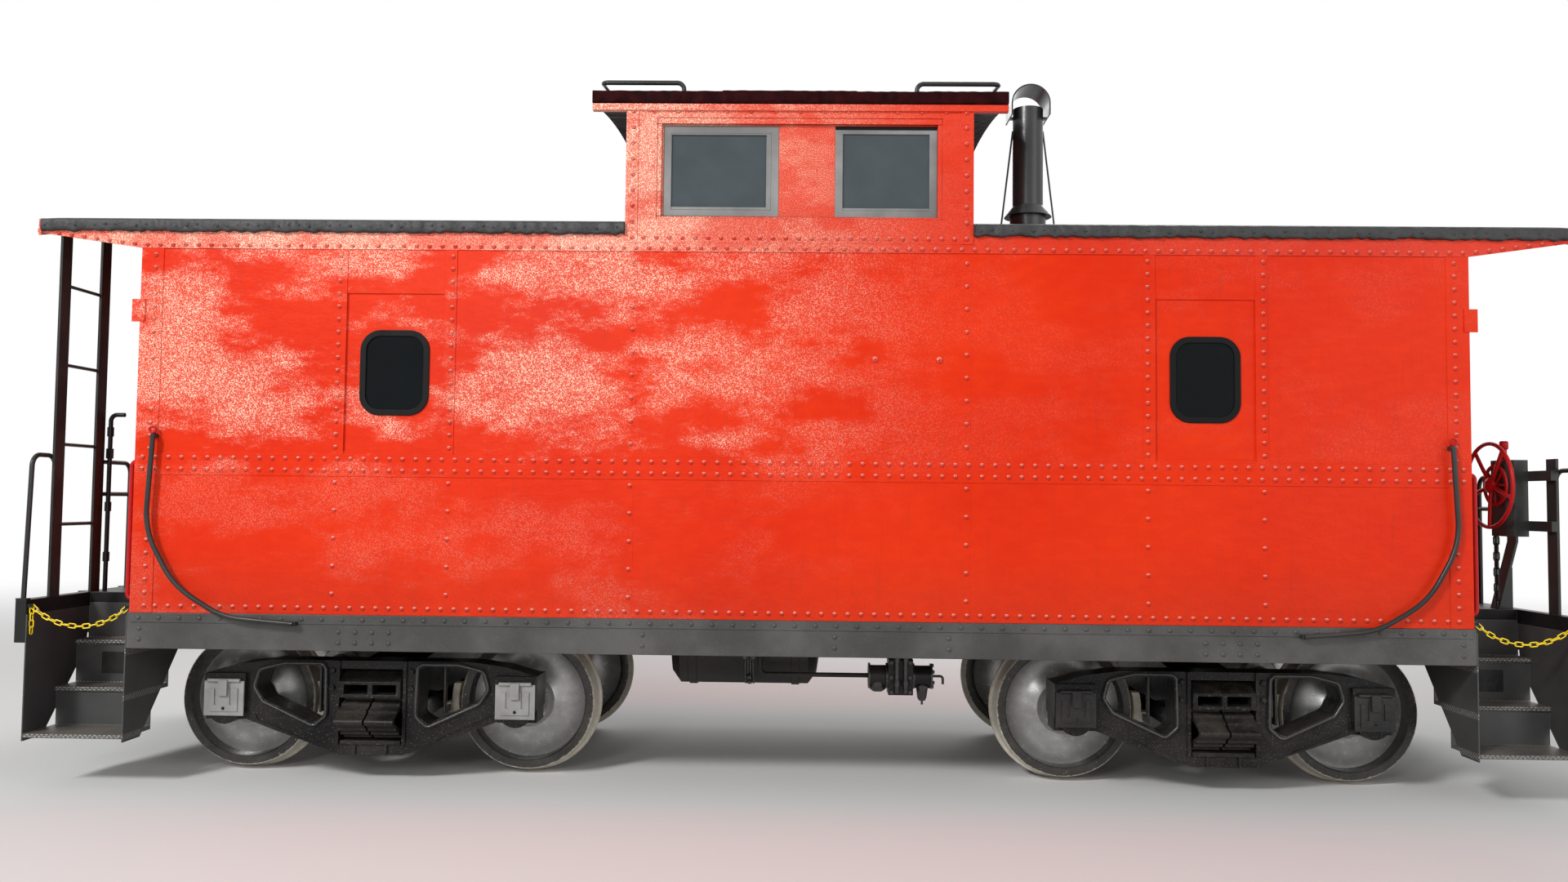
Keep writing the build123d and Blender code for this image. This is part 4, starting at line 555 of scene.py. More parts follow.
class Bench(Tree):
    """One material while it is made: its tree, its shader and the places on the surface."""

    def __init__(self, name: str) -> None:
        """Start a material with one Principled shader.

        Args:
            name: the material's name.
        """
        self.material = bpy.data.materials.new(name)
        self.material.use_nodes = True
        super().__init__(self.material.node_tree)
        self.shader = next(n for n in self.tree.nodes if n.type == "BSDF_PRINCIPLED")
        self.place = self.node("ShaderNodeTexCoord", out="Object")
        self.x, self.y, self.z = self.apart(self.place)

    def apart(self, vector: Value) -> list[Value]:
        """Return a vector's three parts."""
        parts = self.node("ShaderNodeSeparateXYZ", values={0: vector}, out=None).outputs
        return [Value(self, part) for part in parts]

    def noise(
        self, scale: float, detail: float = 3.0, stretch: Point | None = None, rough: float = 0.55
    ) -> Value:
        """Make a cloud pattern.

        Args:
            scale: how fine it is, in repeats per metre.
            detail: how many finer layers it has.
            stretch: a scale for each axis, for brush marks and streaks.
            rough: how strong the finer layers are.

        Returns:
            The pattern, from 0 to 1.
        """
        where = self.place
        if stretch:
            where = self.node("ShaderNodeMapping", values={"Vector": self.place, "Scale": stretch})
        values = {"Vector": where, "Scale": scale, "Detail": detail, "Roughness": rough}
        return self.node("ShaderNodeTexNoise", values=values, out="Fac")

    def upward(self) -> Value:
        """Return how far the surface faces up, from 0 to 1."""
        return self.apart(self.node("ShaderNodeNewGeometry", out="Normal"))[2].rise(0.1, 0.95)

    def mix(self, share: Value | float, low: Value | Colour, high: Value | Colour) -> Value:
        """Return a colour between two, by a share from 0 to 1."""
        ends = [(*end, 1.0) if isinstance(end, tuple) else end for end in (low, high)]
        return self.node("ShaderNodeMix", {"data_type": "RGBA"}, {0: share, 6: ends[0], 7: ends[1]}, 2)

    def bump(self, height: Value, strength: float, distance: float, below: Value | None = None) -> Value:
        """Return a normal pushed out by a height pattern, on top of another bump if one is given."""
        values = {"Height": height, "Strength": strength, "Distance": distance}
        return self.node("ShaderNodeBump", values=values | ({"Normal": below} if below else {}))

    def finish(
        self,
        colour: Value,
        rough: Value,
        normal: Value,
        shine: float | None = None,
        metal: Value | float | None = None,
        alpha: Value | None = None,
    ) -> bpy.types.Material:
        """Feed the shader's sockets.

        Args:
            colour: the base colour.
            rough: the roughness.
            normal: the bumped normal.
            shine: the specular level, or None to leave it.
            metal: how metallic it is, or None to leave it.
            alpha: how far it hides what is behind it, or None to leave it.

        Returns:
            The material.
        """
        names = ("Base Color", "Roughness", "Normal", "Specular IOR Level", "Metallic", "Alpha")
        for name, value in zip(names, (colour, rough, normal, shine, metal, alpha)):
            if value is not None:
                self.feed(self.shader.inputs[name], value)
        return self.material


def scaled(colour: Colour, factor: float, lift: float = 0.0) -> Colour:
    """Return a colour made lighter or darker, up to white."""
    return tuple(min(1.0, c * factor + lift) for c in colour)


@dataclass(frozen=True)
class BrushedPaint:
    """Gloss paint put on by brush over riveted steel: lumpy, with the sun's sheen painted on as pale specks
    and a pale veil, and with grime low down.
    """

    name: str
    colour: Colour
    deep: Colour
    gloss: float = 0.3
    lumps: float = 0.5
    # chalk, bloom and veil set how much painted sun sheen the paint gets, as pale specks and a pale veil
    chalk: float = 0.0
    grime_from: float = 1.0
    grime_to: float = 1.5
    shine: float = 0.16
    bloom: float = 0.0
    sheen_veil: float = 0.22
    # crown: how much upward faces are paled, a painted highlight on the tops of rivet heads
    crown: float = 0.0

    def painted_sheen(self, bench: Bench, fine: Value) -> tuple[Value, Value]:
        """Spread the painted sheen in clouds, most on the -X half, above the belt and on the near side.

        Args:
            bench: the material's bench.
            fine: the pattern of its specks.

        Returns:
            How strongly each place gets painted highlight specks, and how strongly the painted sheen veil
            pales it.
        """
        # painted highlight: clouds that place the sun's sheen on the paint
        sheen_clouds = (bench.noise(1.15, 6.0, (1.0, 1.0, 2.1), 0.66).rise(0.44, 0.60) + self.bloom).lesser(1.0)
        side = bench.x.rise(1.0, -1.2) * 0.95 + 0.05
        above = bench.z.rise(1.80, 1.96) * 0.85 + 0.15
        near = bench.y.rise(1.3, -1.3) * 0.6 + 0.4
        share = sheen_clouds * side * above * near * self.chalk
        return share * fine.rise(0.50, 0.62), share * self.sheen_veil

    def make(self) -> bpy.types.Material:
        """Make the material.

        Returns:
            The material.
        """
        bench = Bench(self.name)
        broad = bench.noise(0.8, 2.0)
        strokes = bench.noise(9.0, 4.0, (1.0, 1.0, 2.2))
        peel = bench.noise(38.0, 2.0, (1.0, 1.0, 1.3))
        fine = bench.noise(170.0, 2.0, None, 0.6)
        runs = bench.noise(5.0, 3.0, (7.0, 7.0, 0.5)).rise(0.55, 0.8)
        low = bench.z.rise(self.grime_to, self.grime_from)
        tint = (broad.rise(0.3, 0.7) * 0.6 + strokes.rise(0.35, 0.75) * 0.4).lesser(1.0)
        dirt = (low * fine.rise(0.3, 0.7) * 0.3 + runs * 0.10).lesser(1.0)
        colour = bench.mix(dirt, bench.mix(tint, self.deep, self.colour), GRIME)
        specks, sheen_veil = self.painted_sheen(bench, fine)
        # painted highlight: a pale pink veil and near-white specks stand in for the sun's sheen on the gloss
        colour = bench.mix(sheen_veil, colour, (0.86, 0.36, 0.24))
        colour = bench.mix(specks, colour, (0.98, 0.84, 0.66))
        # painted highlight: upward faces, the tops of the rivet heads, turn pale pink
        if self.crown:
            colour = bench.mix(bench.upward() * self.crown, colour, (0.98, 0.60, 0.48))
        rough = self.gloss + 0.08 + strokes * 0.06 + dirt * 0.3
        normal = bench.bump(strokes, 0.30 * self.lumps, 0.010)
        normal = bench.bump(peel + fine * 0.4, 0.5 * self.lumps, 0.0022, normal)
        return bench.finish(colour, rough, normal, self.shine)


@dataclass(frozen=True)
class DarkPaint:
    """Black or dark paint on iron, glossy in patches, with road dust on it, and pale specks that are partly
    rubbed paint and partly painted glints.
    """

    name: str
    colour: Colour
    gloss: float = 0.28
    cast: float = 0.0
    dust: float = 0.35
    dust_top: float = 1.2
    lumps: float = 0.3
    wear_and_glints: float = 0.0
    shine: float = 0.28

    def make(self) -> bpy.types.Material:
        """Make the material.

        Returns:
            The material.
        """
        bench = Bench(self.name)
        patches = bench.noise(2.4, 4.0)
        grain = bench.noise(95.0, 4.0)
        swell = bench.noise(16.0, 3.0)
        low = bench.z.rise(self.dust_top, 0.1)
        settled = bench.upward() * bench.noise(14.0, 4.0).rise(0.25, 0.75)
        dust = ((low * 0.35 + settled * 0.8) * patches.rise(0.3, 0.75) * self.dust).lesser(1.0)
        base = bench.mix(patches.rise(0.35, 0.7), self.colour, scaled(self.colour, 1.7, 0.003))
        # pale specks: partly rubbed paint; on the truck castings and the window beads they are painted glints
        # of sun on the gloss
        rubbed_and_glints = bench.mix(grain.rise(0.56, 0.70) * self.wear_and_glints, base, (0.20, 0.195, 0.185))
        rough = (self.gloss + patches * 0.18 + dust * 0.5 + grain * 0.1 * self.cast).lesser(0.95)
        normal = bench.bump(swell, 0.4 * self.lumps, 0.01)
        normal = bench.bump(grain, 0.12 + 0.5 * self.cast, 0.002, normal)
        return bench.finish(bench.mix(dust, rubbed_and_glints, ROAD_DUST), rough, normal, self.shine)


@dataclass(frozen=True)
class RoofCoat:
    """Thick brushed-on roof coating, black and lumpy, with chalky tops."""

    name: str
    colour: Colour
    chalk: float = 0.25
    shine: float = 0.35

    def make(self) -> bpy.types.Material:
        """Make the material.

        Returns:
            The material.
        """
        bench = Bench(self.name)
        swell = bench.noise(11.0, 4.0)
        grain = bench.noise(70.0, 4.0)
        chalk = bench.upward() * bench.noise(3.0, 5.0).rise(0.35, 0.7)
        colour = bench.mix(swell.rise(0.35, 0.7), self.colour, scaled(self.colour, 2.2))
        colour = bench.mix(chalk * self.chalk, colour, (0.13, 0.12, 0.11))
        normal = bench.bump(grain, 0.5, 0.004, bench.bump(swell, 0.7, 0.02))
        return bench.finish(colour, 0.42 + swell * 0.3, normal, self.shine)


@dataclass(frozen=True)
class WheelSteel:
    """A cast wheel: a grey plate with a soft shine, its pale grey partly painted sheen, a dark rim, and a
    chipped pale edge round it.
    """

    name: str
    centre_x: float
    rim_from: float = 0.355
    edge_from: float = 0.407

    def make(self) -> bpy.types.Material:
        """Draw the wheel's rings by the distance from the axle's middle.

        Returns:
            The material.
        """
        bench = Bench(self.name)
        across = bench.x - self.centre_x
        up = bench.z - AXLE_HEIGHT
        far = (across * across + up * up) ** 0.5
        patches = bench.noise(16.0, 5.0, None, 0.6)
        chips = bench.noise(60.0, 5.0, None, 0.7)
        streaks = bench.noise(24.0, 4.0)
        rim = far.rise(self.rim_from - 0.004, self.rim_from + 0.004)
        edge = (far + chips * 0.020 - 0.010).rise(self.edge_from - 0.002, self.edge_from + 0.002)
        specks = chips.rise(0.62, 0.70) * far.rise(0.35, 0.41)
        # the plate's pale grey, palest inside and darker towards the rim, is partly painted sheen of sunlight
        # on the plate
        plate = bench.mix(patches.rise(0.30, 0.80), (0.36, 0.36, 0.352), (0.52, 0.52, 0.505))
        plate = bench.mix(far.rise(0.22, 0.34) * 0.75, plate, (0.085, 0.085, 0.083))
        ring = bench.mix(streaks, (0.020, 0.019, 0.018), (0.070, 0.067, 0.060))
        pale = bench.mix(streaks, (0.34, 0.30, 0.24), (0.70, 0.66, 0.57))
        share = (edge + specks * 0.6).lesser(1.0)
        colour = bench.mix(share, bench.mix(rim, plate, ring), pale)
        normal = bench.bump(patches + streaks * 0.4, 0.12, 0.004)
        return bench.finish(colour, 0.20 + patches * 0.12 + share * 0.3, normal, 0.35, 0.40 - rim * 0.35)


@dataclass(frozen=True)
class BareSteel:
    """Turned or worn steel with brown stain in patches."""

    name: str
    colour: Colour
    stain: float = 0.35

    def make(self) -> bpy.types.Material:
        """Make the material.

        Returns:
            The material.
        """
        bench = Bench(self.name)
        patches = bench.noise(9.0, 5.0)
        lines = bench.noise(14.0, 3.0, (14.0, 0.6, 14.0))
        share = patches.rise(0.45, 0.75) * self.stain
        colour = bench.mix(share, self.colour, (0.14, 0.075, 0.04))
        rough = 0.28 + patches * 0.25 + share * 0.3
        return bench.finish(colour, rough, bench.bump(lines, 0.15, 0.002), metal=1.0 - share)


@dataclass(frozen=True)
class BrakeParts:
    """Black beams whose shoes, between two distances from the middle, are lumpy pale cream."""

    name: str
    shoe_from: float = 0.715
    shoe_to: float = 0.812

    def make(self) -> bpy.types.Material:
        """Split the beams' finish from the shoes' by the distance across the car.

        Returns:
            The material.
        """
        bench = Bench(self.name)
        side = bench.y.math("ABSOLUTE")
        start, end, soft = self.shoe_from, self.shoe_to, 0.002
        shoe = side.rise(start, start + soft) * side.rise(end + soft, end)
        lumps = bench.noise(30.0, 5.0)
        cream = bench.mix(bench.noise(8.0, 4.0).rise(0.3, 0.7), (0.42, 0.38, 0.29), (0.70, 0.67, 0.58))
        dark = bench.mix(lumps, (0.016, 0.016, 0.017), (0.05, 0.045, 0.04))
        return bench.finish(bench.mix(shoe, dark, cream), 0.4 + shoe * 0.25, bench.bump(lumps, 0.6, 0.008))


@dataclass(frozen=True)
class StepPlate:
    """Painted step plate with worn lozenges on its treads and nosings."""

    name: str
    pitch: float = 0.042
    treads: Point = (0.805, 0.545, 0.320)

    def make(self) -> bpy.types.Material:
        """Draw lozenges as sin(u) sin(v) of two slanted waves, near each tread's top.

        Returns:
            The material.
        """
        bench = Bench(self.name)
        turn = 2 * math.pi / self.pitch
        across = bench.x * turn
        down = (bench.z + bench.y) * turn
        near = [(bench.z - (top - 0.014)).math("ABSOLUTE").rise(0.020, 0.015) for top in self.treads]
        waves = (across + down).math("SINE") * (across - down).math("SINE")
        lozenge = waves.rise(0.25, 0.6) * (near[0] + near[1] + near[2])
        grain = bench.noise(70.0, 4.0)
        patches = bench.noise(4.0, 4.0)
        dust = bench.upward() * patches.rise(0.3, 0.7) * 0.6
        colour = bench.mix(patches, (0.022, 0.022, 0.023), (0.072, 0.071, 0.069))
        colour = bench.mix(dust, colour, (0.17, 0.14, 0.11))
        colour = bench.mix(lozenge * grain.rise(0.25, 0.55) * 0.8, colour, (0.30, 0.29, 0.27))
        normal = bench.bump(grain, 0.2, 0.002, bench.bump(lozenge, 0.6, 0.003))
        return bench.finish(colour, 0.32 + patches * 0.25, normal)


@dataclass(frozen=True)
class DarkGlass:
    """Window glass, near black as painted shade of the unlit cabin behind it, more or less dusty."""

    name: str
    # dust: the pane's colour; on the cabin and door glass it is painted shade of the cabin behind, on the
    # cupola glass dust with a painted sky reflection
    dust: Colour
    shine: float = 0.15
    body: float = 0.95

    def make(self) -> bpy.types.Material:
        """Make the material.

        Returns:
            The material.
        """
        bench = Bench(self.name)
        film = bench.noise(5.0, 4.0).rise(0.2, 0.9)
        colour = bench.mix(film, scaled(self.dust, 0.8), self.dust)
        normal = bench.bump(bench.noise(2.2, 1.0), 0.08, 0.01)
        alpha = (self.body + film * 0.04).lesser(1.0)
        return bench.finish(colour, 0.04 + film * 0.1, normal, self.shine, alpha=alpha)


@dataclass(frozen=True)
class Plain:
    """A small fitting's finish: one colour with fine mottling, scuffs and grain."""

    name: str
    colour: Colour
    rough: float = 0.45
    metal: float = 0.0
    grain: float = 80.0
    shine: float = 0.35

    def make(self) -> bpy.types.Material:
        """Make the material.

        Returns:
            The material.
        """
        bench = Bench(self.name)
        mottle = bench.noise(self.grain, 4.0)
        scuff = bench.noise(self.grain / 5, 5.0).rise(0.45, 0.75)
        colour = bench.mix(scuff * 0.7, self.colour, scaled(self.colour, 0.6))
        rough = self.rough + mottle * 0.15 + scuff * 0.1
        return bench.finish(colour, rough, bench.bump(mottle, 0.2, 0.002), self.shine, self.metal)


@dataclass(frozen=True)
class FloorBoards:
    """Worn floor boards that run across the car, with dark gaps between them."""

    name: str
    width: float = 0.12

    def make(self) -> bpy.types.Material:
        """Make the material.

        Returns:
            The material.
        """
        bench = Bench(self.name)
        share = (bench.x / self.width).math("FRACT")
        gap = ((share - 0.5).math("ABSOLUTE") * 2.0).rise(0.93, 0.98)
        grain = bench.noise(9.0, 5.0, (14.0, 1.0, 14.0))
        colour = bench.mix(grain, (0.10, 0.055, 0.03), (0.24, 0.15, 0.08))
        colour = bench.mix(gap, colour, (0.015, 0.01, 0.008))
        return bench.finish(colour, 0.6 + grain * 0.2, bench.bump(grain - gap, 0.4, 0.003))


def mixed_paints() -> dict[str, bpy.types.Material]:
    """Mix every finish of the car once.

    Returns:
        The materials by name.
    """
    wall_red, wall_deep = (0.74, 0.034, 0.004), (0.64, 0.022, 0.003)
    line_red, line_deep = (0.70, 0.036, 0.009), (0.60, 0.024, 0.006)
    # the rivet heads' darker red is painted shade, so that they stand out from the walls
    shaded_head_red, shaded_head_deep = (0.64, 0.028, 0.005), (0.52, 0.020, 0.004)
    gloss_red, gloss_deep = (0.55, 0.012, 0.014), (0.42, 0.009, 0.010)
    finishes = [
        # chalk, bloom and veil give each red its painted sun sheen
        BrushedPaint("red_wall_paint", wall_red, wall_deep, 0.24, lumps=0.9, chalk=0.75, shine=0.11),
        BrushedPaint(
            "red_roofline_paint", line_red, line_deep, 0.22, lumps=1.2, chalk=0.9, bloom=0.4, sheen_veil=0.5
        ),
        BrushedPaint("rivet_red", shaded_head_red, shaded_head_deep, 0.1, lumps=0.6, chalk=0.8, shine=0.4, crown=0.6),
        BrushedPaint(
            "bright_red_gloss", gloss_red, gloss_deep, 0.2, lumps=0.4, grime_from=-2.0, grime_to=-1.0
        ),
        DarkPaint("black_rail_paint", (0.017, 0.018, 0.017), 0.22, dust=0.12),
        DarkPaint("black_frame_paint", SOOT_BLACK, 0.28, cast=0.1, dust=0.45, dust_top=1.3, lumps=0.5),
        DarkPaint("sill_paint", (0.052, 0.052, 0.050), 0.26, 0.2, 0.2, dust_top=1.3, lumps=0.8, wear_and_glints=0.15),
        DarkPaint("jack_paint", (0.018, 0.018, 0.018), 0.20, cast=0.1, dust=0.15, shine=0.5),
        DarkPaint("cast_truck_black", (0.004, 0.004, 0.0045), 0.2, 0.7, 0.3, 1.0, 1.2, wear_and_glints=0.35, shine=0.18),
        DarkPaint("bead_black", (0.020, 0.020, 0.020), 0.16, 0.4, 0.2, 1.0, 0.8, wear_and_glints=0.4, shine=0.6),
        DarkPaint("spring_black", (0.008, 0.007, 0.007), 0.32, 0.5, 0.35, 1.0, 0.4, wear_and_glints=0.25, shine=0.2),
        DarkPaint("lid_black", (0.012, 0.012, 0.012), 0.22, 0.3, 0.3, 1.0, 0.8, wear_and_glints=0.1),
        DarkPaint("lid_silver", (0.21, 0.21, 0.205), 0.34, 0.2, 0.3, 1.0, 0.6, wear_and_glints=0.5),
        DarkPaint("sash_grey", (0.16, 0.16, 0.156), 0.34, cast=0.1, dust=0.1),
        RoofCoat("roof_coat", (0.014, 0.014, 0.015), chalk=0.25, shine=0.5),
        RoofCoat("maroon_roof_coat", (0.013, 0.0014, 0.0020), chalk=0.04, shine=0.04),
        BareSteel("axle_steel", (0.42, 0.40, 0.38)),
        BareSteel("hinge_steel", (0.40, 0.39, 0.38), stain=0.2),
        BrakeParts("brake_parts"),
        StepPlate("step_plate"),
        # cabin and door glass: near-black painted shade of the cabin, the door glass fully opaque
        DarkGlass("cabin_glass", CABIN_SHADE, shine=0.08),
        DarkGlass("door_glass", CABIN_SHADE, shine=0.08, body=1.0),
        # the cupola glass's blue-grey is partly dust and partly painted reflection of the sky
        DarkGlass("dusty_sky_glass", (0.066, 0.082, 0.092), shine=0.25),
        Plain("window_seal", (0.005, 0.005, 0.005), 0.4, shine=0.12),
        Plain("chain_yellow", (0.90, 0.66, 0.015), 0.30),
        Plain("nosing_steel", (0.22, 0.215, 0.20), 0.34, metal=0.3),
        Plain("tie_white", (0.75, 0.75, 0.72), 0.4),
        FloorBoards("floor_boards"),
        *(WheelSteel(f"wheel_steel_{number}", x) for number, x in AXLES.items()),
    ]
    return {finish.name: finish.make() for finish in finishes}


@dataclass
class Workshop:
    """Turns shapes and CAD nodes into finished pieces that ride on a body."""

    paints: dict[str, bpy.types.Material]
    count: int = 0

    def piece(
        self,
        name: str,
        shape: Shape,
        coat: Coat,
        bevel: float = 0.0,
        smooth: float = 40.0,
        body: Body = Body.CAR,
        replaces: Sequence[str] = (),
    ) -> None:
        """Make a piece from a shape.

        Args:
            name: the piece's name.
            shape: its points and faces.
            coat: its finish and slot.
            bevel: the width of a bevel on its edges, in metres, or 0.
            smooth: edges flatter than this angle, in degrees, are shaded smooth.
            body: the body it rides on.
            replaces: the CAD nodes it stands for.
        """
        mesh = bpy.data.meshes.new(name)
        mesh.vertices.add(len(shape.points))
        mesh.vertices.foreach_set("co", shape.points.astype(np.float32).ravel())
        totals = np.concatenate([np.full(len(f), f.shape[1]) for f in shape.faces])
        corners = np.concatenate([f.ravel() for f in shape.faces])
        mesh.loops.add(len(corners))
        mesh.loops.foreach_set("vertex_index", corners.astype(np.int32))
        mesh.polygons.add(len(totals))
        mesh.polygons.foreach_set("loop_start", (np.cumsum(totals) - totals).astype(np.int32))
        mesh.polygons.foreach_set("loop_total", totals.astype(np.int32))
        mesh.update(calc_edges=True)
        work = bmesh.new()
        work.from_mesh(mesh)
        bmesh.ops.remove_doubles(work, verts=work.verts, dist=MERGE_NEW)
        bmesh.ops.dissolve_degenerate(work, edges=work.edges, dist=SLIVER)
        work.to_mesh(mesh)
        work.free()
        self.place(name, mesh, coat, body.value, replaces, smooth, bevel)

    def skin(self, coat: Coat, bevel: float, *nodes: str, smooth: float = 32.0) -> None:
        """Put a merged copy of each CAD node in its place, on its own body, with softened edges.

        Args:
            coat: the finish and slot.
            bevel: the width of the bevel on the edges, in metres.
            nodes: the CAD nodes that the copies replace.
            smooth: edges flatter than this angle, in degrees, are shaded smooth.
        """
        for node in nodes:
            source = frame["nodes"][node]
            mesh = source.data.copy()
            mesh.materials.clear()
            work = bmesh.new()
            work.from_mesh(mesh)
            bmesh.ops.remove_doubles(work, verts=work.verts, dist=MERGE_SOLID)
            flat = {"angle_limit": math.radians(FLAT), "use_dissolve_boundaries": False}
            bmesh.ops.dissolve_limit(work, verts=work.verts, edges=work.edges, **flat)
            work.to_mesh(mesh)
            work.free()
            if mesh.has_custom_normals:
                mesh.normals_split_custom_set_from_vertices([v.normal for v in mesh.vertices])
                if "custom_normal" in mesh.attributes:
                    mesh.attributes.remove(mesh.attributes["custom_normal"])
            self.place(node + "_skin", mesh, coat, source["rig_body"], [node], smooth, bevel)

    def repaint(self, paint: str, *nodes: str) -> None:
        """Give CAD nodes that stay as they are a better finish.

        Args:
            paint: the finish's name.
            nodes: the nodes.
        """
        for node in nodes:
            materials = frame["nodes"][node].data.materials
            materials.clear()
            materials.append(self.paints[paint])

    def place(
        self,
        name: str,
        mesh: bpy.types.Mesh,
        coat: Coat,
        body: str,
        replaces: Sequence[str],
        smooth: float,
        bevel: float,
    ) -> None:
        """Wrap a mesh in an object, shade it, soften its edges and put it on its body.

        Args:
            name: the piece's name.
            mesh: its mesh.
            coat: its finish and slot.
            body: the name of the body it rides on.
            replaces: the CAD nodes it stands for.
            smooth: edges flatter than this angle, in degrees, are shaded smooth.
            bevel: the width of its bevel, in metres, or 0.
        """
        paint, slot = coat.value
        mesh.polygons.foreach_set("use_smooth", np.ones(len(mesh.polygons), bool))
        mesh.set_sharp_from_angle(angle=math.radians(smooth))
        mesh.materials.append(self.paints[paint])
        piece = bpy.data.objects.new(name, mesh)
        bpy.context.scene.collection.objects.link(piece)
        if bevel:
            edge = piece.modifiers.new("edges", "BEVEL")
            edge.width = bevel
            edge.segments = 2
            edge.limit_method = "ANGLE"
            edge.angle_limit = math.radians(smooth)
            edge.use_clamp_overlap = True
            edge.harden_normals = True
        if replaces:
            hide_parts(*replaces)
        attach(piece, body)
        self.count += 1

    def side_rivets(self, name: str, places: Sequence[np.ndarray], coat: Coat) -> None:
        """Rivet the near side at the places given, and the far side at their mirror images.

        Args:
            name: the start of the two pieces' names.
            places: the rows of rivets.
            coat: their finish and slot.
        """
        near = copies(dome(RIVET_RADIUS, RIVET_HEIGHT).turned(TO_NEAR), np.concatenate(places))
        for side, heads in (("near", near), ("far", near.turned(MIRROR))):
            self.piece(f"{name}_{side}", heads, coat, smooth=70)


@dataclass
class CarSides:
    """The red side walls: cover strips with rivets, sheet joints, window panels and eye bolts."""

    shop: Workshop
    belt: Span = (1.850, 1.917)
    corner_column: float = 3.752
    window_x: float = 2.337
    post_column: float = 0.330
    seams: Span = (-0.958, 0.973)
    bottom_row: float = 1.059
    fascia_row: float = 3.160
    fascia_slope: float = 0.125
    plugs: Span = (0.447, 0.816)
    eye_x: float = 3.722

    def rivets(self) -> None:
        """Rivet the strips, the bottom edge, the fascia and the joints."""
        face, strip = -SIDE, -SIDE - STRIP
        up, below = along(1.06, 3.1), along(1.14, 1.78, 0.155)
        rows = [row(along(-3.79, 3.79), strip, self.belt)]
        for side in (-1, 1):
            rows.append(row(side * self.corner_column, strip, up[(up < 1.81) | (up > 1.96)]))
            for edge in (-1, 1):
                column = side * self.window_x + edge * self.post_column
                rows += [row(column, strip, along(1.985, 3.1)), row(column, face, below)]
        for seam in self.seams:
            rows += [row(seam, face, along(2.02, 3.08, 0.14)), row(seam, face, below)]
        rows.append(row(along(-3.69, 3.69), face, self.bottom_row))
        self.shop.side_rivets("wall_rivets", rows, Coat.RIVET)
        line = row(along(-4.33, 4.33), face - FASCIA, self.fascia_row)
        line[:, 2] += np.maximum(0.0, np.abs(line[:, 0]) - BODY_HALF) * self.fascia_slope
        self.shop.side_rivets("fascia_rivets", [line], Coat.RIVET)
        plugs = copies(dome(0.020, 0.011, 16).turned(TO_NEAR), row(self.plugs, face, 2.519))
        self.shop.piece("wall_plugs", plugs.both_sides(), Coat.RIVET, smooth=70)

    def joints(self) -> None:
        """Lay a thin lapped bead where two sheets of a side meet, below and above the belt."""
        beads = [
            ((x + 0.020, -SIDE - 0.0012, low), (x + 0.024, -SIDE + 0.002, high))
            for x in self.seams
            for low, high in ((1.03, 1.815), (1.947, 3.138))
        ]
        self.shop.piece("sheet_joints", boxes(beads).both_sides(), Coat.WALL, 0.001)

    def eye_bolts(self) -> None:
        """Hang an eye bolt over the top of each curved grab iron."""
        x, out = self.eye_x, -SIDE - 0.030
        eye = ring_tube(circle(0.018, 24, "xz"), 0.006, 10).moved((x, out, 2.075))
        stem = tube([(x, -SIDE - STRIP, 2.057), (x, out, 2.057)], 0.007)
        self.shop.piece("side_eye_bolts", join([eye, stem]).at_corners(), Coat.GLOSS_IRON)

    def build(self) -> None:
        """Make every piece of the sides."""
        self.shop.skin(Coat.WALL, 0.0015, "side_wall_near", "side_wall_far")
        self.shop.skin(Coat.ROOFLINE, 0.0015, "roof_fascia")
        self.shop.skin(Coat.SEAL, 0.004, "window_frames")
        self.shop.repaint("cabin_glass", "side_window_glass", "end_window_glass")
        self.shop.repaint("dusty_sky_glass", "cupola_glass")
        self.rivets()
        self.joints()
        self.eye_bolts()


@dataclass(frozen=True)
class LumpyEdge:
    """A bead of tar or lapped sheet along a roof's near edge, with sizes for its depth and waver."""

    low: float
    high: float
    least: float
    lump: float
    sag: float
    phase: float
    face: float = 1.4455
    inset: float = 0.0175
    step: float = 0.009

    def run(self, start: float, end: float, lift: float = 0.0) -> Shape:
        """Carry the bead's profile along X.

        The profile is (y, z) = (-(face + d sqrt(sin a)), middle + half cos a). Its depth d and its
        lower edge are shifted at each place by sums of sines of X.

        Args:
            start: where it starts along X.
            end: where it ends.
            lift: how much higher it lies than its levels.

        Returns:
            The closed bead.
        """
        count = int((end - start) / self.step)
        x = np.linspace(start, end, count)
        p = x + self.phase * start
        rise = 0.5 + 0.20 * np.sin(p * 31.0 + 2 * np.sin(p * 5.0))
        rise += 0.25 * np.sin(p * 67.0 + 3 * np.cos(p * 9.0))
        fall = 0.4 * np.sin(p * 27.0 + 3 * np.sin(p * 4.3)) + 0.4 * np.sin(p * 53.0 + 3 * np.sin(p * 11.0))
        fall += 0.3 * np.sin(p * 97.0 + 2 * np.sin(p * 7.0)) - 0.4 * np.sin(p * 2.9) ** 2
        depth = self.least + self.lump * rise
        low = self.low + lift + self.sag * 0.5 * fall
        high = self.high + lift + 0.003 * rise
        turn = np.linspace(0, np.pi, 9)
        cols = len(turn) + 2
        y = -self.face - np.sqrt(np.sin(turn))[None] * depth[:, None]
        z = ((high + low) / 2)[:, None] + ((high - low) / 2)[:, None] * np.cos(turn)[None]
        ys = np.concatenate([y, np.full((count, 2), -self.face + self.inset)], axis=1)
        zs = np.concatenate([z, z[:, -1:], z[:, :1]], axis=1)
        grid = np.stack([np.repeat(x[:, None], cols, axis=1), ys, zs], axis=2)
        cap = np.arange(cols)[None]
        faces = [grid_faces(count, cols, wrap_cols=True)[:, ::-1], cap[:, ::-1], cap + (count - 1) * cols]
        return Shape(grid.reshape(-1, 3), faces)


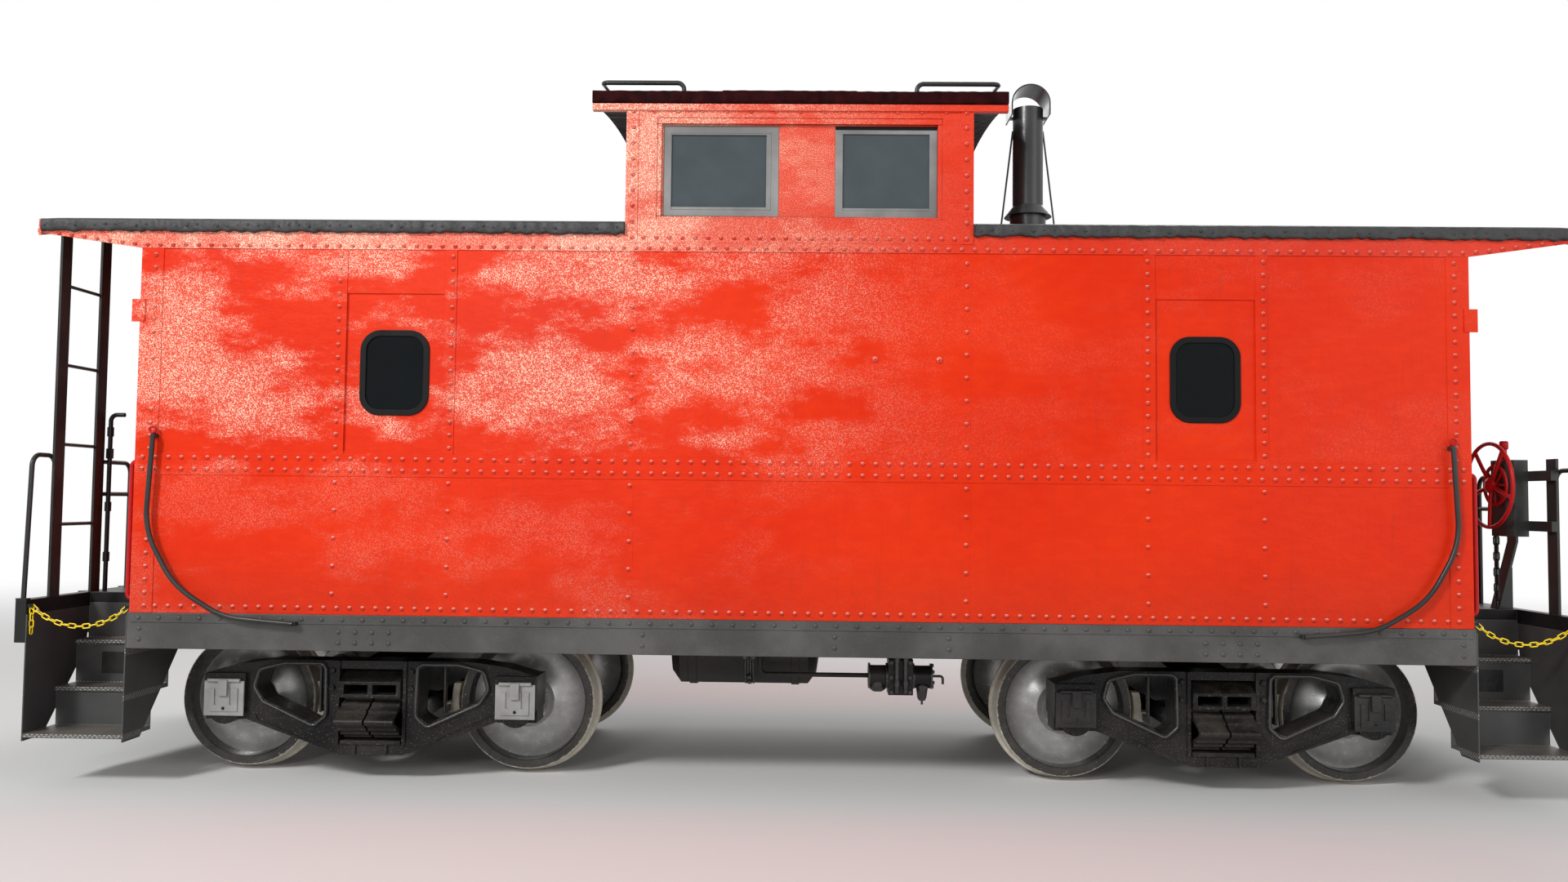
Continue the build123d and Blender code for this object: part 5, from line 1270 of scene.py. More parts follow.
@dataclass
class Cupola:
    """The lookout: its riveted red walls, grey sashes and maroon roof."""

    shop: Workshop
    bottom: float = 3.191
    top: float = 4.006
    recess: tuple[float, float, float, float] = (-0.829, 0.829, 3.333, 3.928)

    def sashes(self) -> None:
        """Widen the sashes' bars, put a black strip over the low sash as painted shadow, and add the lifts.
        """
        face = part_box("cupola_sashes")[0][1]
        front, back = face - 0.0005, face + 0.020
        bars = [
            ((-0.1935, front, 3.393), (-0.1655, back, 3.842)),
            ((-0.747, front, 3.3925), (-0.1935, back, 3.408)),
            ((-0.747, front, 3.834), (-0.1935, back, 3.8425)),
            ((0.2525, front, 3.3925), (0.7565, back, 3.406)),
        ]
        self.shop.piece("sash_wide_bars", boxes(bars).both_sides(), Coat.SASH, 0.001)
        # painted shade: a black strip where the shadow falls over the lower sash
        gap = boxes([((0.209, face - 0.0008, 3.866), (0.800, back, 3.8875))])
        self.shop.piece("sash_shadow_strip", gap.both_sides(), Coat.SEAL, smooth=30)
        lifts = boxes([((0.398, -1.4225, 3.331), (0.548, -1.402, 3.349))])
        self.shop.piece("sash_lifts", lifts.both_sides(), Coat.RIVET, 0.002)

    def moulding(self) -> None:
        """Frame the recess that the sashes stand in."""
        x0, x1, z0, z1 = self.recess
        floor, top = -SIDE - FASCIA + 0.020, -SIDE - FASCIA + 0.006
        side, sill, head = 0.026, z0 + 0.014, z1 - 0.034
        bars = [
            ((x0, top, z0), (x1, floor, sill)),
            ((x0, top, head), (x1, floor, z1)),
            ((x0, top, sill), (x0 + side, floor, head)),
            ((x1 - side, top, sill), (x1, floor, head)),
        ]
        self.shop.piece("cupola_recess_moulding", boxes(bars).both_sides(), Coat.ROOFLINE, 0.003)

    def build(self) -> None:
        """Make every piece of the cupola."""
        shop = self.shop
        shop.skin(Coat.ROOFLINE, 0.0015, "cupola_sides", "cupola_ends")
        shop.skin(Coat.MAROON, 0.008, "cupola_roof")
        shop.skin(Coat.SASH, 0.004, "cupola_sashes")
        lap = LumpyEdge(low=4.010, high=4.078, least=0.004, lump=0.004, sag=0.010, phase=7.0)
        runs = [(-1.209, -0.43, 0.000), (-0.45, 0.33, 0.004), (0.30, 0.78, 0.001), (0.74, 1.209, 0.003)]
        laps = join([lap.run(*run) for run in runs]).both_sides()
        shop.piece("cupola_roof_laps", laps, Coat.MAROON, smooth=80)
        boards = boxes([((-1.2085, -1.4445, 3.966), (1.2085, -1.400, 4.0045))])
        shop.piece("cupola_eave_boards", boards.both_sides(), Coat.ROOFLINE, 0.002)
        self.sashes()
        face = -SIDE - FASCIA
        rows = [
            row(along(-0.90, 0.90), face, self.bottom + 0.030),
            row([-0.968, 0.968], face - STRIP, along(self.bottom + 0.03, self.top - 0.045, 0.096)),
            row(along(-0.85, 0.85, 0.147), face, self.top - 0.042),
        ]
        shop.side_rivets("cupola_rivets", rows, Coat.RIVET)
        self.moulding()


@dataclass
class Roof:
    """The main roof with its lumpy black coating, and the smoke jack on it."""

    shop: Workshop
    ends: Span = (1.012, 4.424)

    def build(self) -> None:
        """Make every piece of the roof."""
        self.shop.skin(Coat.ROOF, 0.006, "roof")
        self.shop.skin(Coat.JACK, 0.001, "smoke_jack")
        tar = LumpyEdge(low=3.238, high=3.304, least=0.006, lump=0.012, sag=0.013, phase=3.0)
        near, far = self.ends
        edges = join([tar.run(-far, -near), tar.run(near, far)]).both_sides()
        self.shop.piece("roof_tar_edges", edges, Coat.ROOF, smooth=80)
        spots = np.concatenate([row(along(s * 1.05, s * 4.40, 0.06), -1.455, 3.270) for s in (-1, 1)])
        spots[:, 2] += 0.006 * np.sin(spots[:, 0] * 23.0)
        nails = copies(dome(0.010, 0.006, 6).turned(TO_NEAR), spots).both_sides()
        self.shop.piece("roof_edge_nails", nails, Coat.ROOF, smooth=70)


@dataclass
class Rails:
    """All handrails and grab irons, as round bars with true bends in place of few-sided ones."""

    shop: Workshop
    radius: float = 0.014
    railing_y: float = -0.330
    railing_z: Span = (1.700, 1.906)
    railing_end: Span = (-0.739, -0.691)
    crown_half: float = 1.446
    crown_rise: float = 0.112

    def hoops(self) -> Shape:
        """Bend one corner's tall hoop, with its foot and the tab at its post.

        Returns:
            The hoop.
        """
        x = POST_FACE + self.radius
        path = [(x, -1.400, DECK), (x, -1.368, 1.928), (x, -1.150, 1.928), (x, -1.150, 1.835)]
        foot = ((4.440, -1.420, DECK), (4.505, -1.380, DECK + 0.008))
        tab = ((POST_FACE, -1.164, 1.835), (x, -1.136, 1.863))
        return join([tube(path, self.radius, 0.070), boxes([foot, tab])])

    def railings(self) -> Shape:
        """Bend one corner's platform railing, with its two bars and their ends.

        Returns:
            The railing.
        """
        x, y, (low, high) = POST_FACE + self.radius, self.railing_y, self.railing_z
        end, post = self.railing_end
        upper = tube([(x, y, DECK), (x, y, high), (x, end, high)], self.radius, 0.070)
        lower = tube([(x, y, low), (x, end, low)], self.radius)
        ends = boxes([((POST_FACE, end, z - self.radius), (x, post, z + self.radius)) for z in (low, high)])
        return join([upper, lower, ends])

    def side_irons(self) -> Shape:
        """Bend one corner's long curved grab iron, with its two feet.

        Returns:
            The grab iron.
        """
        y = -SIDE - 0.036 - self.radius
        path = [(3.710, y, 2.040), (3.738, y, 1.500), (3.560, y, 1.180), (3.270, y, 1.005), (2.865, y, 0.970)]
        feet = [
            ((3.699, y, 2.029), (3.721, -SIDE - STRIP, 2.051)),
            ((2.854, y, 0.959), (2.876, -SIDE, 0.981)),
        ]
        return join([tube(path, self.radius, 0.480, 16), boxes(feet)])

    def end_irons(self) -> Shape:
        """Bend one corner's red grab iron on the end wall.

        Returns:
            The grab iron.
        """
        near, far, y = BODY_HALF, BODY_HALF + 0.040, -1.372
        path = [(near, y, 1.890), (far, y, 1.890), (far, y, 1.100), (near, y, 1.100)]
        return tube(path, self.radius, 0.024)

    def roof_rails(self) -> Shape:
        """Bend one corner's low rail on the cupola's roof, whose inner foot stands on the crown.

        Returns:
            The rail.
        """
        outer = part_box("cupola_roof_rails")[0][2]
        inner = outer + self.crown(1.036) - self.crown(1.286)
        path = [(0.690, -1.300, outer), (0.690, -1.300, outer + 0.072), (1.175, -1.300, outer + 0.072)]
        return tube([*path, (1.175, -1.050, inner + 0.072), (1.175, -1.050, inner)], self.radius, 0.040)

    def crown(self, y: float) -> float:
        """Return the height of the cupola roof's arch over its centre, at a distance from the middle."""
        radius = (self.crown_half**2 + self.crown_rise**2) / (2 * self.crown_rise)
        return math.sqrt(radius**2 - y**2)

    def build(self) -> None:
        """Make every rail."""
        for name, shape, coat, node in (
            ("hoop_handrails", self.hoops(), Coat.RAIL, "corner_handrails"),
            ("platform_railings", self.railings(), Coat.RAIL, "end_railings"),
            ("curved_grab_irons", self.side_irons(), Coat.RAIL, "side_grab_irons"),
            ("red_grab_irons", self.end_irons(), Coat.GLOSS_IRON, "end_grab_irons"),
            ("cupola_handrails", self.roof_rails(), Coat.RAIL, "cupola_roof_rails"),
        ):
            self.shop.piece(name, shape.at_corners(), coat, replaces=[node])


def border(x: float, y: Span, z: Span, width: float, stand: float) -> Shape:
    """Put four bars round an opening in a wall that faces +X.

    Args:
        x: the wall's face.
        y: the opening's edges across the car.
        z: the opening's lower and upper edge.
        width: how wide the bars are.
        stand: how far they stand out of the wall.

    Returns:
        The four bars.
    """
    back, front = x - 0.001, x + stand
    return boxes(
        [
            ((back, y[0] - width, z[0] - width), (front, y[1] + width, z[0])),
            ((back, y[0] - width, z[1]), (front, y[1] + width, z[1] + width)),
            ((back, y[0] - width, z[0]), (front, y[0], z[1])),
            ((back, y[1], z[0]), (front, y[1] + width, z[1])),
        ]
    )


@dataclass
class EndWalls:
    """The two end walls and their doors: rivets, window and door borders, and the doors' glass."""

    shop: Workshop
    light_y: Span = (-0.210, 0.210)
    light_z: Span = (2.135, 2.785)
    pane_x: Span = (3.7940, 3.8020)
    door_face: float = 3.820
    casing: Span = (0.355, 0.425)
    casing_top: Span = (3.035, 3.105)
    stand: float = 0.006

    def borders(self) -> None:
        """Put bars round the windows, and boards round the doorway."""
        sashes = [border(BODY_HALF, (y - 0.21, y + 0.21), (2.09, 2.71), 0.028, 0.007) for y in (-0.9, 0.9)]
        sashes += [border(1.009, (y - 0.31, y + 0.31), (3.63, 3.93), 0.024, 0.006) for y in (-0.6, 0.6)]
        self.shop.piece("end_window_borders", join(sashes).at_ends(), Coat.SEAL, 0.002)
        back, front = BODY_HALF - 0.001, BODY_HALF + self.stand
        (inner, outer), (low, top) = self.casing, self.casing_top
        boards = [
            ((back, -outer, DECK), (front, -inner, top)),
            ((back, inner, DECK), (front, outer, top)),
            ((back, -inner, low), (front, inner, top)),
            ((back, -0.450, top), (BODY_HALF + 0.040, 0.450, top + 0.012)),
        ]
        self.shop.piece("door_casings", boxes(boards).at_ends(), Coat.WALL, 0.002)

    def rivets(self) -> None:
        """Rivet the end walls: a column beside each corner, one beside each casing, and a belt."""
        places = [(y, z) for y in (-1.335, 1.335) for z in along(1.15, 3.12)]
        places += [(y, z) for y in (-0.392, 0.392) for z in along(1.15, 3.12, 0.0985)]
        places += [(y * side, 1.885) for side in (-1, 1) for y in along(0.50, 1.26)]
        outer = self.casing[1]
        spots = [(BODY_HALF + (self.stand if abs(y) < outer else 0.0), y, z) for y, z in places]
        heads = copies(dome(RIVET_RADIUS, RIVET_HEIGHT).turned(TO_END), spots)
        self.shop.piece("end_rivets", heads.at_ends(), Coat.RIVET, smooth=70)

    def doors(self) -> None:
        """Glaze each door on its own body, with a border round its light."""
        gap = 0.0005
        (left, right), (low, high), (inner, outer) = self.light_y, self.light_z, self.pane_x
        pane = boxes([((inner, left + gap, low + gap), (outer, right - gap, high - gap))])
        bars = border(self.door_face, self.light_y, self.light_z, 0.022, 0.004)
        for letter, body, turn in (("b", Body.DOOR_B, np.eye(3)), ("a", Body.DOOR_A, HALF_TURN)):
            self.shop.piece(f"door_{letter}_pane", pane.turned(turn), Coat.PANE, body=body)
            self.shop.piece(f"door_{letter}_border", bars.turned(turn), Coat.SEAL, 0.001, body=body)

    def build(self) -> None:
        """Make every piece of the end walls and doors."""
        self.shop.skin(Coat.WALL, 0.0015, "end_wall_a", "end_wall_b")
        self.shop.skin(Coat.WALL, 0.002, "door_a", "door_b")
        self.shop.repaint("hinge_steel", "door_hinges")
        self.borders()
        self.rivets()
        self.doors()


@dataclass(frozen=True)
class Chain:
    """Links of round wire, each turned a quarter from the last."""

    wire: float
    width: float

    def linked(
        self, pitch: float, spots: Sequence[Point], slopes: Sequence[float], play: float = 0.0
    ) -> Shape:
        """Set links at places along a chain in the XZ plane.

        A link's middle line is bow * (cos a, sin a), with each half moved out along its length.

        Args:
            pitch: how far the links' middles are apart.
            spots: the links' middles.
            slopes: the chain's angle above X at each.
            play: how much longer each half of a link is than the pitch asks.

        Returns:
            All the links.
        """
        bow = self.width / 2 - self.wire
        turn = around(20) + np.pi / 20
        path = np.stack([bow * np.cos(turn), bow * np.sin(turn), 0 * turn], axis=1)
        path[:, 0] += np.sign(np.cos(turn)) * ((pitch + 4 * self.wire - self.width) / 2 + play)
        link = ring_tube(path, self.wire, 8)
        side = np.array([0.0, 1.0, 0.0])
        links = []
        for k, (spot, angle) in enumerate(zip(spots, slopes)):
            ahead = np.array([math.cos(angle), 0.0, math.sin(angle)])
            up = np.cross(ahead, side)
            basis = [ahead, up, -side] if k % 2 == 0 else [ahead, side, up]
            links.append(link.turned(np.stack(basis, axis=1)).moved(spot))
        return join(links)

    def hanging(self, spot: Point, count: int, pitch: float) -> Shape:
        """Return a straight chain that hangs down from a place."""
        spots = [(spot[0], spot[1], spot[2] - pitch * (k + 0.5)) for k in range(count)]
        return self.linked(pitch, spots, [-math.pi / 2] * count)

    def slung(self, ends: Span, y: float, level: float, sag: float, count: int) -> Shape:
        """Hang a chain between two lugs, on an arc whose middle is a sag below them.

        Args:
            ends: the lugs' places along X.
            y: the chain's place across the car.
            level: the lugs' height.
            sag: how far the middle hangs down.
            count: how many links it has.

        Returns:
            All the links.
        """
        span = ends[1] - ends[0]
        radius = (span**2 / 4 + sag**2) / (2 * sag)
        half = math.asin(span / 2 / radius)
        slopes = -half + 2 * half / count * (np.arange(count) + 0.5)
        middle = (ends[0] + ends[1]) / 2
        spots = [(middle + radius * math.sin(a), y, level - sag + radius * (1 - math.cos(a))) for a in slopes]
        return self.linked(2 * radius * math.sin(half / count), spots, slopes, 0.0003)


def spokes(count: int, profile: Sequence[Span], radius: float, bend: float, sides: int) -> Shape:
    """Run bars out from Z at equal angles a, through (r cos a, r sin a, z) for each (r, z).

    Args:
        count: how many bars there are.
        profile: the points (r, z) of each.
        radius: the bars' radius.
        bend: the radius of their arcs.
        sides: how many sides they have.

    Returns:
        All the bars.
    """
    lines = [[(r * math.cos(a), r * math.sin(a), z) for r, z in profile] for a in around(count)]
    return join([tube(line, radius, bend, sides) for line in lines])


@dataclass
class EndGear:
    """Platforms, steps, ladders, hand brakes, chains, brackets and couplers at the two ends."""

    shop: Workshop
    wheel_centre: Point = (4.236, -0.870, 1.844)
    wheel_radius: float = 0.267
    rim: float = 0.012
    nosings: tuple[Span, ...] = ((0.940, 0.805), (1.130, 0.545), (1.420, 0.320))

    def brake_wheels(self) -> None:
        """Make the hand wheels: a round rim, five dished spokes, a hub and the ratchet behind it."""
        reach = self.wheel_radius - self.rim
        hub = [(0.0, -0.020), (0.026, -0.020), (0.034, -0.012), (0.046, -0.004)]
        hub += [(0.046, 0.012), (0.022, 0.020), (0.022, 0.054), (0.0, 0.054)]
        parts = [
            ring_tube(circle(reach, 72), self.rim, 14),
            spokes(5, ((0.03, 0.012), (0.13, 0.004), (reach, 0.0)), 0.012, 0.05, 10),
            lathe(hub, 24),
            sleeve(0.110, 0.128, 0.032, 0.044, 48, lined=True),
            spokes(8, ((0.018, 0.038), (0.112, 0.038)), 0.0075, 0.0, 8),
        ]
        wheel = join(parts).turned(TO_END).moved(self.wheel_centre).at_ends()
        self.shop.piece("brake_hand_wheels", wheel, Coat.GLOSS_RED, smooth=50, replaces=["hand_brake_wheels"])

    def brake_fittings(self) -> None:
        """Hang the chain beside each brake rod, and put the red stem and ball on each lever."""
        chain = Chain(0.0055, 0.042).hanging((4.330, -0.770, 1.530), 9, 0.0485)
        self.shop.piece("brake_chains", chain.at_ends(), Coat.RAIL)
        stem = [(0.0, -0.0915), (0.0165, -0.0915), (0.0165, -0.0265)]
        ball = [(0.019, -0.0260), (0.0242, -0.0222), (0.0255, 0.0), (0.0242, 0.0222)]
        top = [(0.019, 0.0260), (0.0, 0.0265)]
        knob = lathe(stem + ball + top, 24).moved(LEVER_TOP)
        self.shop.piece("brake_lever_balls", knob.at_ends(), Coat.GLOSS_RED, smooth=60)

    def safety_chains(self) -> None:
        """Sling a chain across each corner's steps, with its lugs, pins and ties, and one loose end."""
        chain = Chain(CHAIN_WIRE, CHAIN_WIDTH)
        slung = chain.slung(CHAIN_ENDS, CHAIN_Y, 1.050, 0.115, 15).at_corners()
        loose = chain.hanging((-CHAIN_ENDS[1], CHAIN_Y, 1.043), 4, 0.0385)
        self.shop.piece("safety_chains", join([slung, loose]), Coat.CHAIN, replaces=["step_chains"])
        tie = ring_tube(circle(0.010, 16, "yz"), 0.0022, 6)
        ties = copies(tie, [(x, CHAIN_Y, 1.024) for x in (3.893, 4.383)])
        self.shop.piece("chain_ties", ties.at_corners(), Coat.TIE)
        plates = [
            ((low, y, 1.040), (high, y + 0.006, 1.060))
            for low, high in ((BODY_HALF, 3.868), (4.408, 4.440))
            for y in (-1.412, -1.394)
        ]
        pins = [tube([(x, -1.412, 1.050), (x, -1.388, 1.050)], 0.004) for x in CHAIN_ENDS]
        self.shop.piece("chain_lugs", join([boxes(plates), *pins]).at_corners(), Coat.FRAME)

    def step_trim(self) -> None:
        """Put two staggered rows of raised lozenges on the nosings, and blank signs on the risers."""
        oval = lathe([(0.0115, 0.0), (0.007, 0.0022), (0.0, 0.0022)], 8).turned(np.diag((0.42, 1.0, 1.0)))
        spots = []
        for nosing, top in self.nosings:
            x = along(3.872, 4.404, 0.028)
            spots += [row(x, -nosing, top - 0.0065), row(x + 0.014, -nosing, top - 0.0170)]
        lozenges = copies(oval.turned(TO_NEAR), np.concatenate(spots))
        self.shop.piece("step_lozenges", lozenges.at_corners(), Coat.NOSING, smooth=60)
        sign = boxes([((4.082, -0.9275, 0.600), (4.270, -0.9235, 0.731))])
        self.shop.piece("blank_step_signs", sign.at_corners(), Coat.SIGN, 0.001)

    def build(self) -> None:
        """Make every piece of the ends."""
        shop = self.shop
        shop.repaint("floor_boards", "floor")
        shop.skin(Coat.FRAME, 0.004, "end_platforms")
        shop.skin(Coat.STEP, 0.002, "steps")
        shop.skin(Coat.RAIL, 0.003, "roof_ladders")
        shop.skin(Coat.RAIL, 0.005, "hand_brake_stands")
        shop.skin(Coat.RAIL, 0.002, "uncoupling_levers")
        shop.skin(Coat.WALL, 0.002, "marker_brackets")
        shop.skin(Coat.CAST, 0.010, "couplers")
        self.brake_wheels()
        self.brake_fittings()
        self.safety_chains()
        self.step_trim()


@dataclass
class Underframe:
    """Sills, cross members, pipes and brake gear under the floor."""

    shop: Workshop
    valve: Point = (0.640, -0.900, 0.6445)
    reservoir: Point = (-0.285, -0.620, 0.735)
    reservoir_radius: float = 0.184
    angle: float = 0.006

    def pipes(self) -> Shape:
        """Join the train pipe, its cocks, the control valve's pipe and the platform pipes.

        Returns:
            All the pipes.
        """
        run = [(4.6, -0.28, 0.8), (0.09, -0.28, 0.8), (0.09, 0.28, 0.8), (-4.6, 0.28, 0.8)]
        branch = [(-0.215, -0.9, 1.035), (-0.215, -0.9, 0.6445), (0.445, -0.9, 0.6445)]
        x, y = 4.426, 0.655
        up = tube([(x, y, DECK), (x, y, 2.210), (x - 0.090, y, 2.210)], 0.014, 0.040)
        blocks = [((x, y, z - 0.008), (POST_FACE, 0.691, z + 0.008)) for z in (1.700, 1.906)]
        blocks.append(((x - 0.016, y - 0.016, 1.928), (x + 0.016, y + 0.016, 1.992)))
        blocks.append(((4.568, -0.312, 0.768), (4.632, -0.248, 0.832)))
        sleeves = copies(sleeve(0.014, 0.020, -0.03, 0.03, 12), [(x, y, z) for z in (1.30, 1.62, 2.10)])
        ends = join([up, boxes(blocks), sleeves]).at_ends()
        return join([tube(run, 0.021, 0.110), ends, tube(branch, 0.014, 0.040)])

    def valve_fittings(self) -> Shape:
        """Join the control valve's flanges, bolts, risers, drip cup and petcock.

        Returns:
            All the fittings.
        """
        x, y, z = self.valve
        plate = lathe([(0.0, -0.006), (0.077, -0.006), (0.077, 0.006), (0.0, 0.006)], 24).turned(TO_END)
        flanges = copies(plate, [(x + dx, y, z) for dx in (-0.188, -0.081, 0.081, 0.188)])
        head = hex_head(0.024, 0.011).turned(TO_NEAR)
        heads = copies(head, row((x - 0.056, x + 0.056), y - 0.075, (z - 0.088, z, z + 0.088)))
        turn = np.radians(np.arange(30, 360, 60))
        studs = np.stack([0 * turn, 0.064 * np.cos(turn), 0.064 * np.sin(turn)], axis=1)
        nuts = copies(hex_head(0.020, 0.012).turned(TO_END), studs + (x + 0.194, y, z))
        cup = [(0.0, -0.172), (0.007, -0.172), (0.007, -0.150), (0.020, -0.147), (0.028, -0.130)]
        cup += [(0.036, -0.072), (0.050, -0.069), (0.050, -0.055), (0.040, -0.052), (0.040, 0.0), (0.0, 0.0)]
        bowl = [(0.0, -0.098), (0.030, -0.094), (0.048, -0.080), (0.054, -0.060), (0.054, 0.0), (0.0, 0.0)]
        cups = [lathe(cup, 20).moved((x + 0.135, y, z)), lathe(bowl, 20).moved((x - 0.135, y, z))]
        out, low = y - 0.112, z - 0.082
        feet = (x - 0.025, x + 0.027)
        bent = [[(foot, y - 0.070, low), (foot, out, low), (foot, out, 1.033)] for foot in feet]
        risers = [tube(path, 0.013, 0.030) for path in bent]
        union = sleeve(0.012, 0.022, -0.014, 0.014, 6)
        unions = copies(union, [(foot, out, z + up) for foot in feet for up in (-0.030, 0.110)])
        lever = tube([(x + 0.190, y, z), (x + 0.262, y, z), (x + 0.262, y, z - 0.048)], 0.008, 0.018)
        return join([flanges, heads, nuts, *cups, *risers, unions, lever])

    def reservoir_clamp(self) -> Shape:
        """Bend four wires round the reservoir's outer side, on arcs in the YZ plane, with bolted lugs.

        Returns:
            The clamp.
        """
        turn = np.radians(np.linspace(-70, 70, 22))
        reach = self.reservoir_radius + 0.003
        arc = np.stack([0 * turn, -np.cos(turn), np.sin(turn)], axis=1) * reach + self.reservoir
        parts = [tube(arc + (dx, 0, 0), 0.007) for dx in (-0.024, -0.008, 0.008, 0.024)]
        for angle in np.radians((-46, 0, 40)):
            out = np.array([0.0, -math.cos(angle), math.sin(angle)])
            lug = copies(hex_head(0.030, 0.022), [(0, -0.026, 0), (0, 0.026, 0)]).turned(facing(out))
            parts.append(lug.moved(out * reach + self.reservoir))
        return join(parts)

    def sills(self) -> None:
        """Run an angle along the top of each side sill, and rivet it and the sill."""
        face = -SIDE
        strip = boxes([((-3.832, face - self.angle, 0.966), (3.832, face, 1.019))])
        self.shop.piece("sill_angles", strip.both_sides(), Coat.SILL, 0.002)
        rows = [row(along(-3.78, 3.78, 0.118), face - self.angle, 0.993)]
        rows += [row(x + np.linspace(-0.1455, 0.1455, 4), face, (0.861, 0.922)) for x in (-2.4755, 2.4755)]
        rows += [row(x, face, (0.868, 0.930)) for x in (-3.778, -0.871, 0.228, 0.877, 3.778)]
        self.shop.side_rivets("sill_rivets", rows, Coat.SILL)

    def build(self) -> None:
        """Make every piece of the underframe."""
        self.shop.skin(Coat.FRAME, 0.003, "centre_sill")
        self.shop.skin(Coat.SILL, 0.003, "side_sills")
        self.shop.skin(Coat.FRAME, 0.004, "cross_members", "air_reservoir", "brake_gear")
        self.shop.piece("air_pipe_runs", self.pipes(), Coat.FRAME, smooth=45, replaces=["air_pipes"])
        self.shop.piece("valve_fittings", self.valve_fittings(), Coat.FITTING)
        self.shop.piece("reservoir_clamp", self.reservoir_clamp(), Coat.FITTING)
        self.sills()


@dataclass
class Truck:
    """One truck without its wheelsets: cast sideframes, bolster, springs, lids and brake beams."""

    shop: Workshop
    letter: str
    lids: Coat
    window: tuple[Span, ...] = (
        (0.276, 0.704),
        (0.521, 0.704),
        (0.674, 0.666),
        (0.7035, 0.560),
        (0.649, 0.475),
        (0.340, 0.332),
        (0.268, 0.395),
    )

    def fasteners(self) -> Shape:
        """Place the near side's small heads: one on each lid, and bolts beside the columns.

        Returns:
            The heads.
        """
        button = dome(0.010, 0.006, 12).turned(TO_NEAR)
        bolt = hex_head(0.034, 0.016).turned(TO_NEAR)
        guides = row((-0.238, 0.238), -1.116, (0.560, 0.660))
        return join([copies(button, row((-0.870, 0.870), -1.167, 0.436)), copies(bolt, guides)])

    def beads(self) -> Shape:
        """Return the raised bead round each window of the near sideframe."""
        paths = [loop([(side * x, -1.130, z) for x, z in self.window], 0.038) for side in (-1, 1)]
        return join([ring_tube(path, 0.008, 8) for path in paths])

    def build(self) -> None:
        """Make every piece of the truck."""
        name = f"truck_{self.letter}_"
        for coat, bevel, node in (
            (Coat.CAST, 0.008, "sideframes"),
            (Coat.CAST, 0.008, "bolster"),
            (Coat.CAST, 0.003, "spring_plank"),
            (Coat.SPRING, 0.0015, "leaf_springs"),
            (self.lids, 0.003, "journal_lids"),
            (Coat.BRAKES, 0.006, "brake_beams"),
        ):
            self.shop.skin(coat, bevel, name + node)
        body, centre = Body(f"truck_{self.letter}"), (TRUCKS[self.letter], 0, 0)
        self.shop.piece(name + "bolts", self.fasteners().both_sides().moved(centre), Coat.CAST, body=body)
        beads = self.beads().both_sides().moved(centre)
        self.shop.piece(name + "window_beads", beads, Coat.BEAD, smooth=60, body=body)


@dataclass
class Wheelset:
    """Two wheels and their axle, turned with true profiles: flange, coned tread, rim, dished plate."""

    shop: Workshop
    number: str
    back: float = 0.678
    face: float = 0.823
    sides: int = 128

    def wheel(self) -> Shape:
        """Turn the +Y wheel's closed profile full circle about the Y axis.

        Returns:
            The wheel, with its axle's middle at the origin.
        """
        back, face = self.back, self.face
        inner = [(0.084, -0.016), (0.130, -0.016), (0.138, -0.008), (0.146, 0.016), (0.200, 0.036)]
        inner += [(0.300, 0.038), (0.345, 0.028), (0.357, 0.010), (0.362, 0.0)]
        tread = [(0.430, 0.0), (0.441, 0.005), (0.4449, 0.016), (0.440, 0.026)]
        tread += [(0.427, 0.031), (0.4205, 0.044), (0.4165, 0.090)]
        rim = [(0.4125, face - 0.006), (0.407, face), (0.364, face), (0.357, face - 0.006)]
        plate = [(0.350, 0.066), (0.300, 0.060), (0.220, 0.078), (0.160, 0.110)]
        hub = [(0.142, face + 0.004), (0.132, face + 0.016), (0.084, face + 0.016)]
        profile = [(r, back + y) for r, y in inner + tread] + rim + [(r, back + y) for r, y in plate] + hub
        to_axle = np.array([(1.0, 0, 0), (0, 0, 1.0), (0, -1.0, 0)])
        return lathe(profile, self.sides, closed=True).turned(to_axle)

    def build(self) -> None:
        """Make the wheels and skin the axle."""
        n = self.number
        pair = self.wheel().both_sides().moved((AXLES[n], 0, AXLE_HEIGHT))
        coat, body = Coat[f"WHEEL_{n}"], Body(f"wheelset_{n}")
        self.shop.piece(f"wheel_pair_{n}", pair, coat, smooth=35, body=body, replaces=[f"wheels_{n}"])
        self.shop.skin(Coat.AXLE, 0.002, f"axle_{n}")


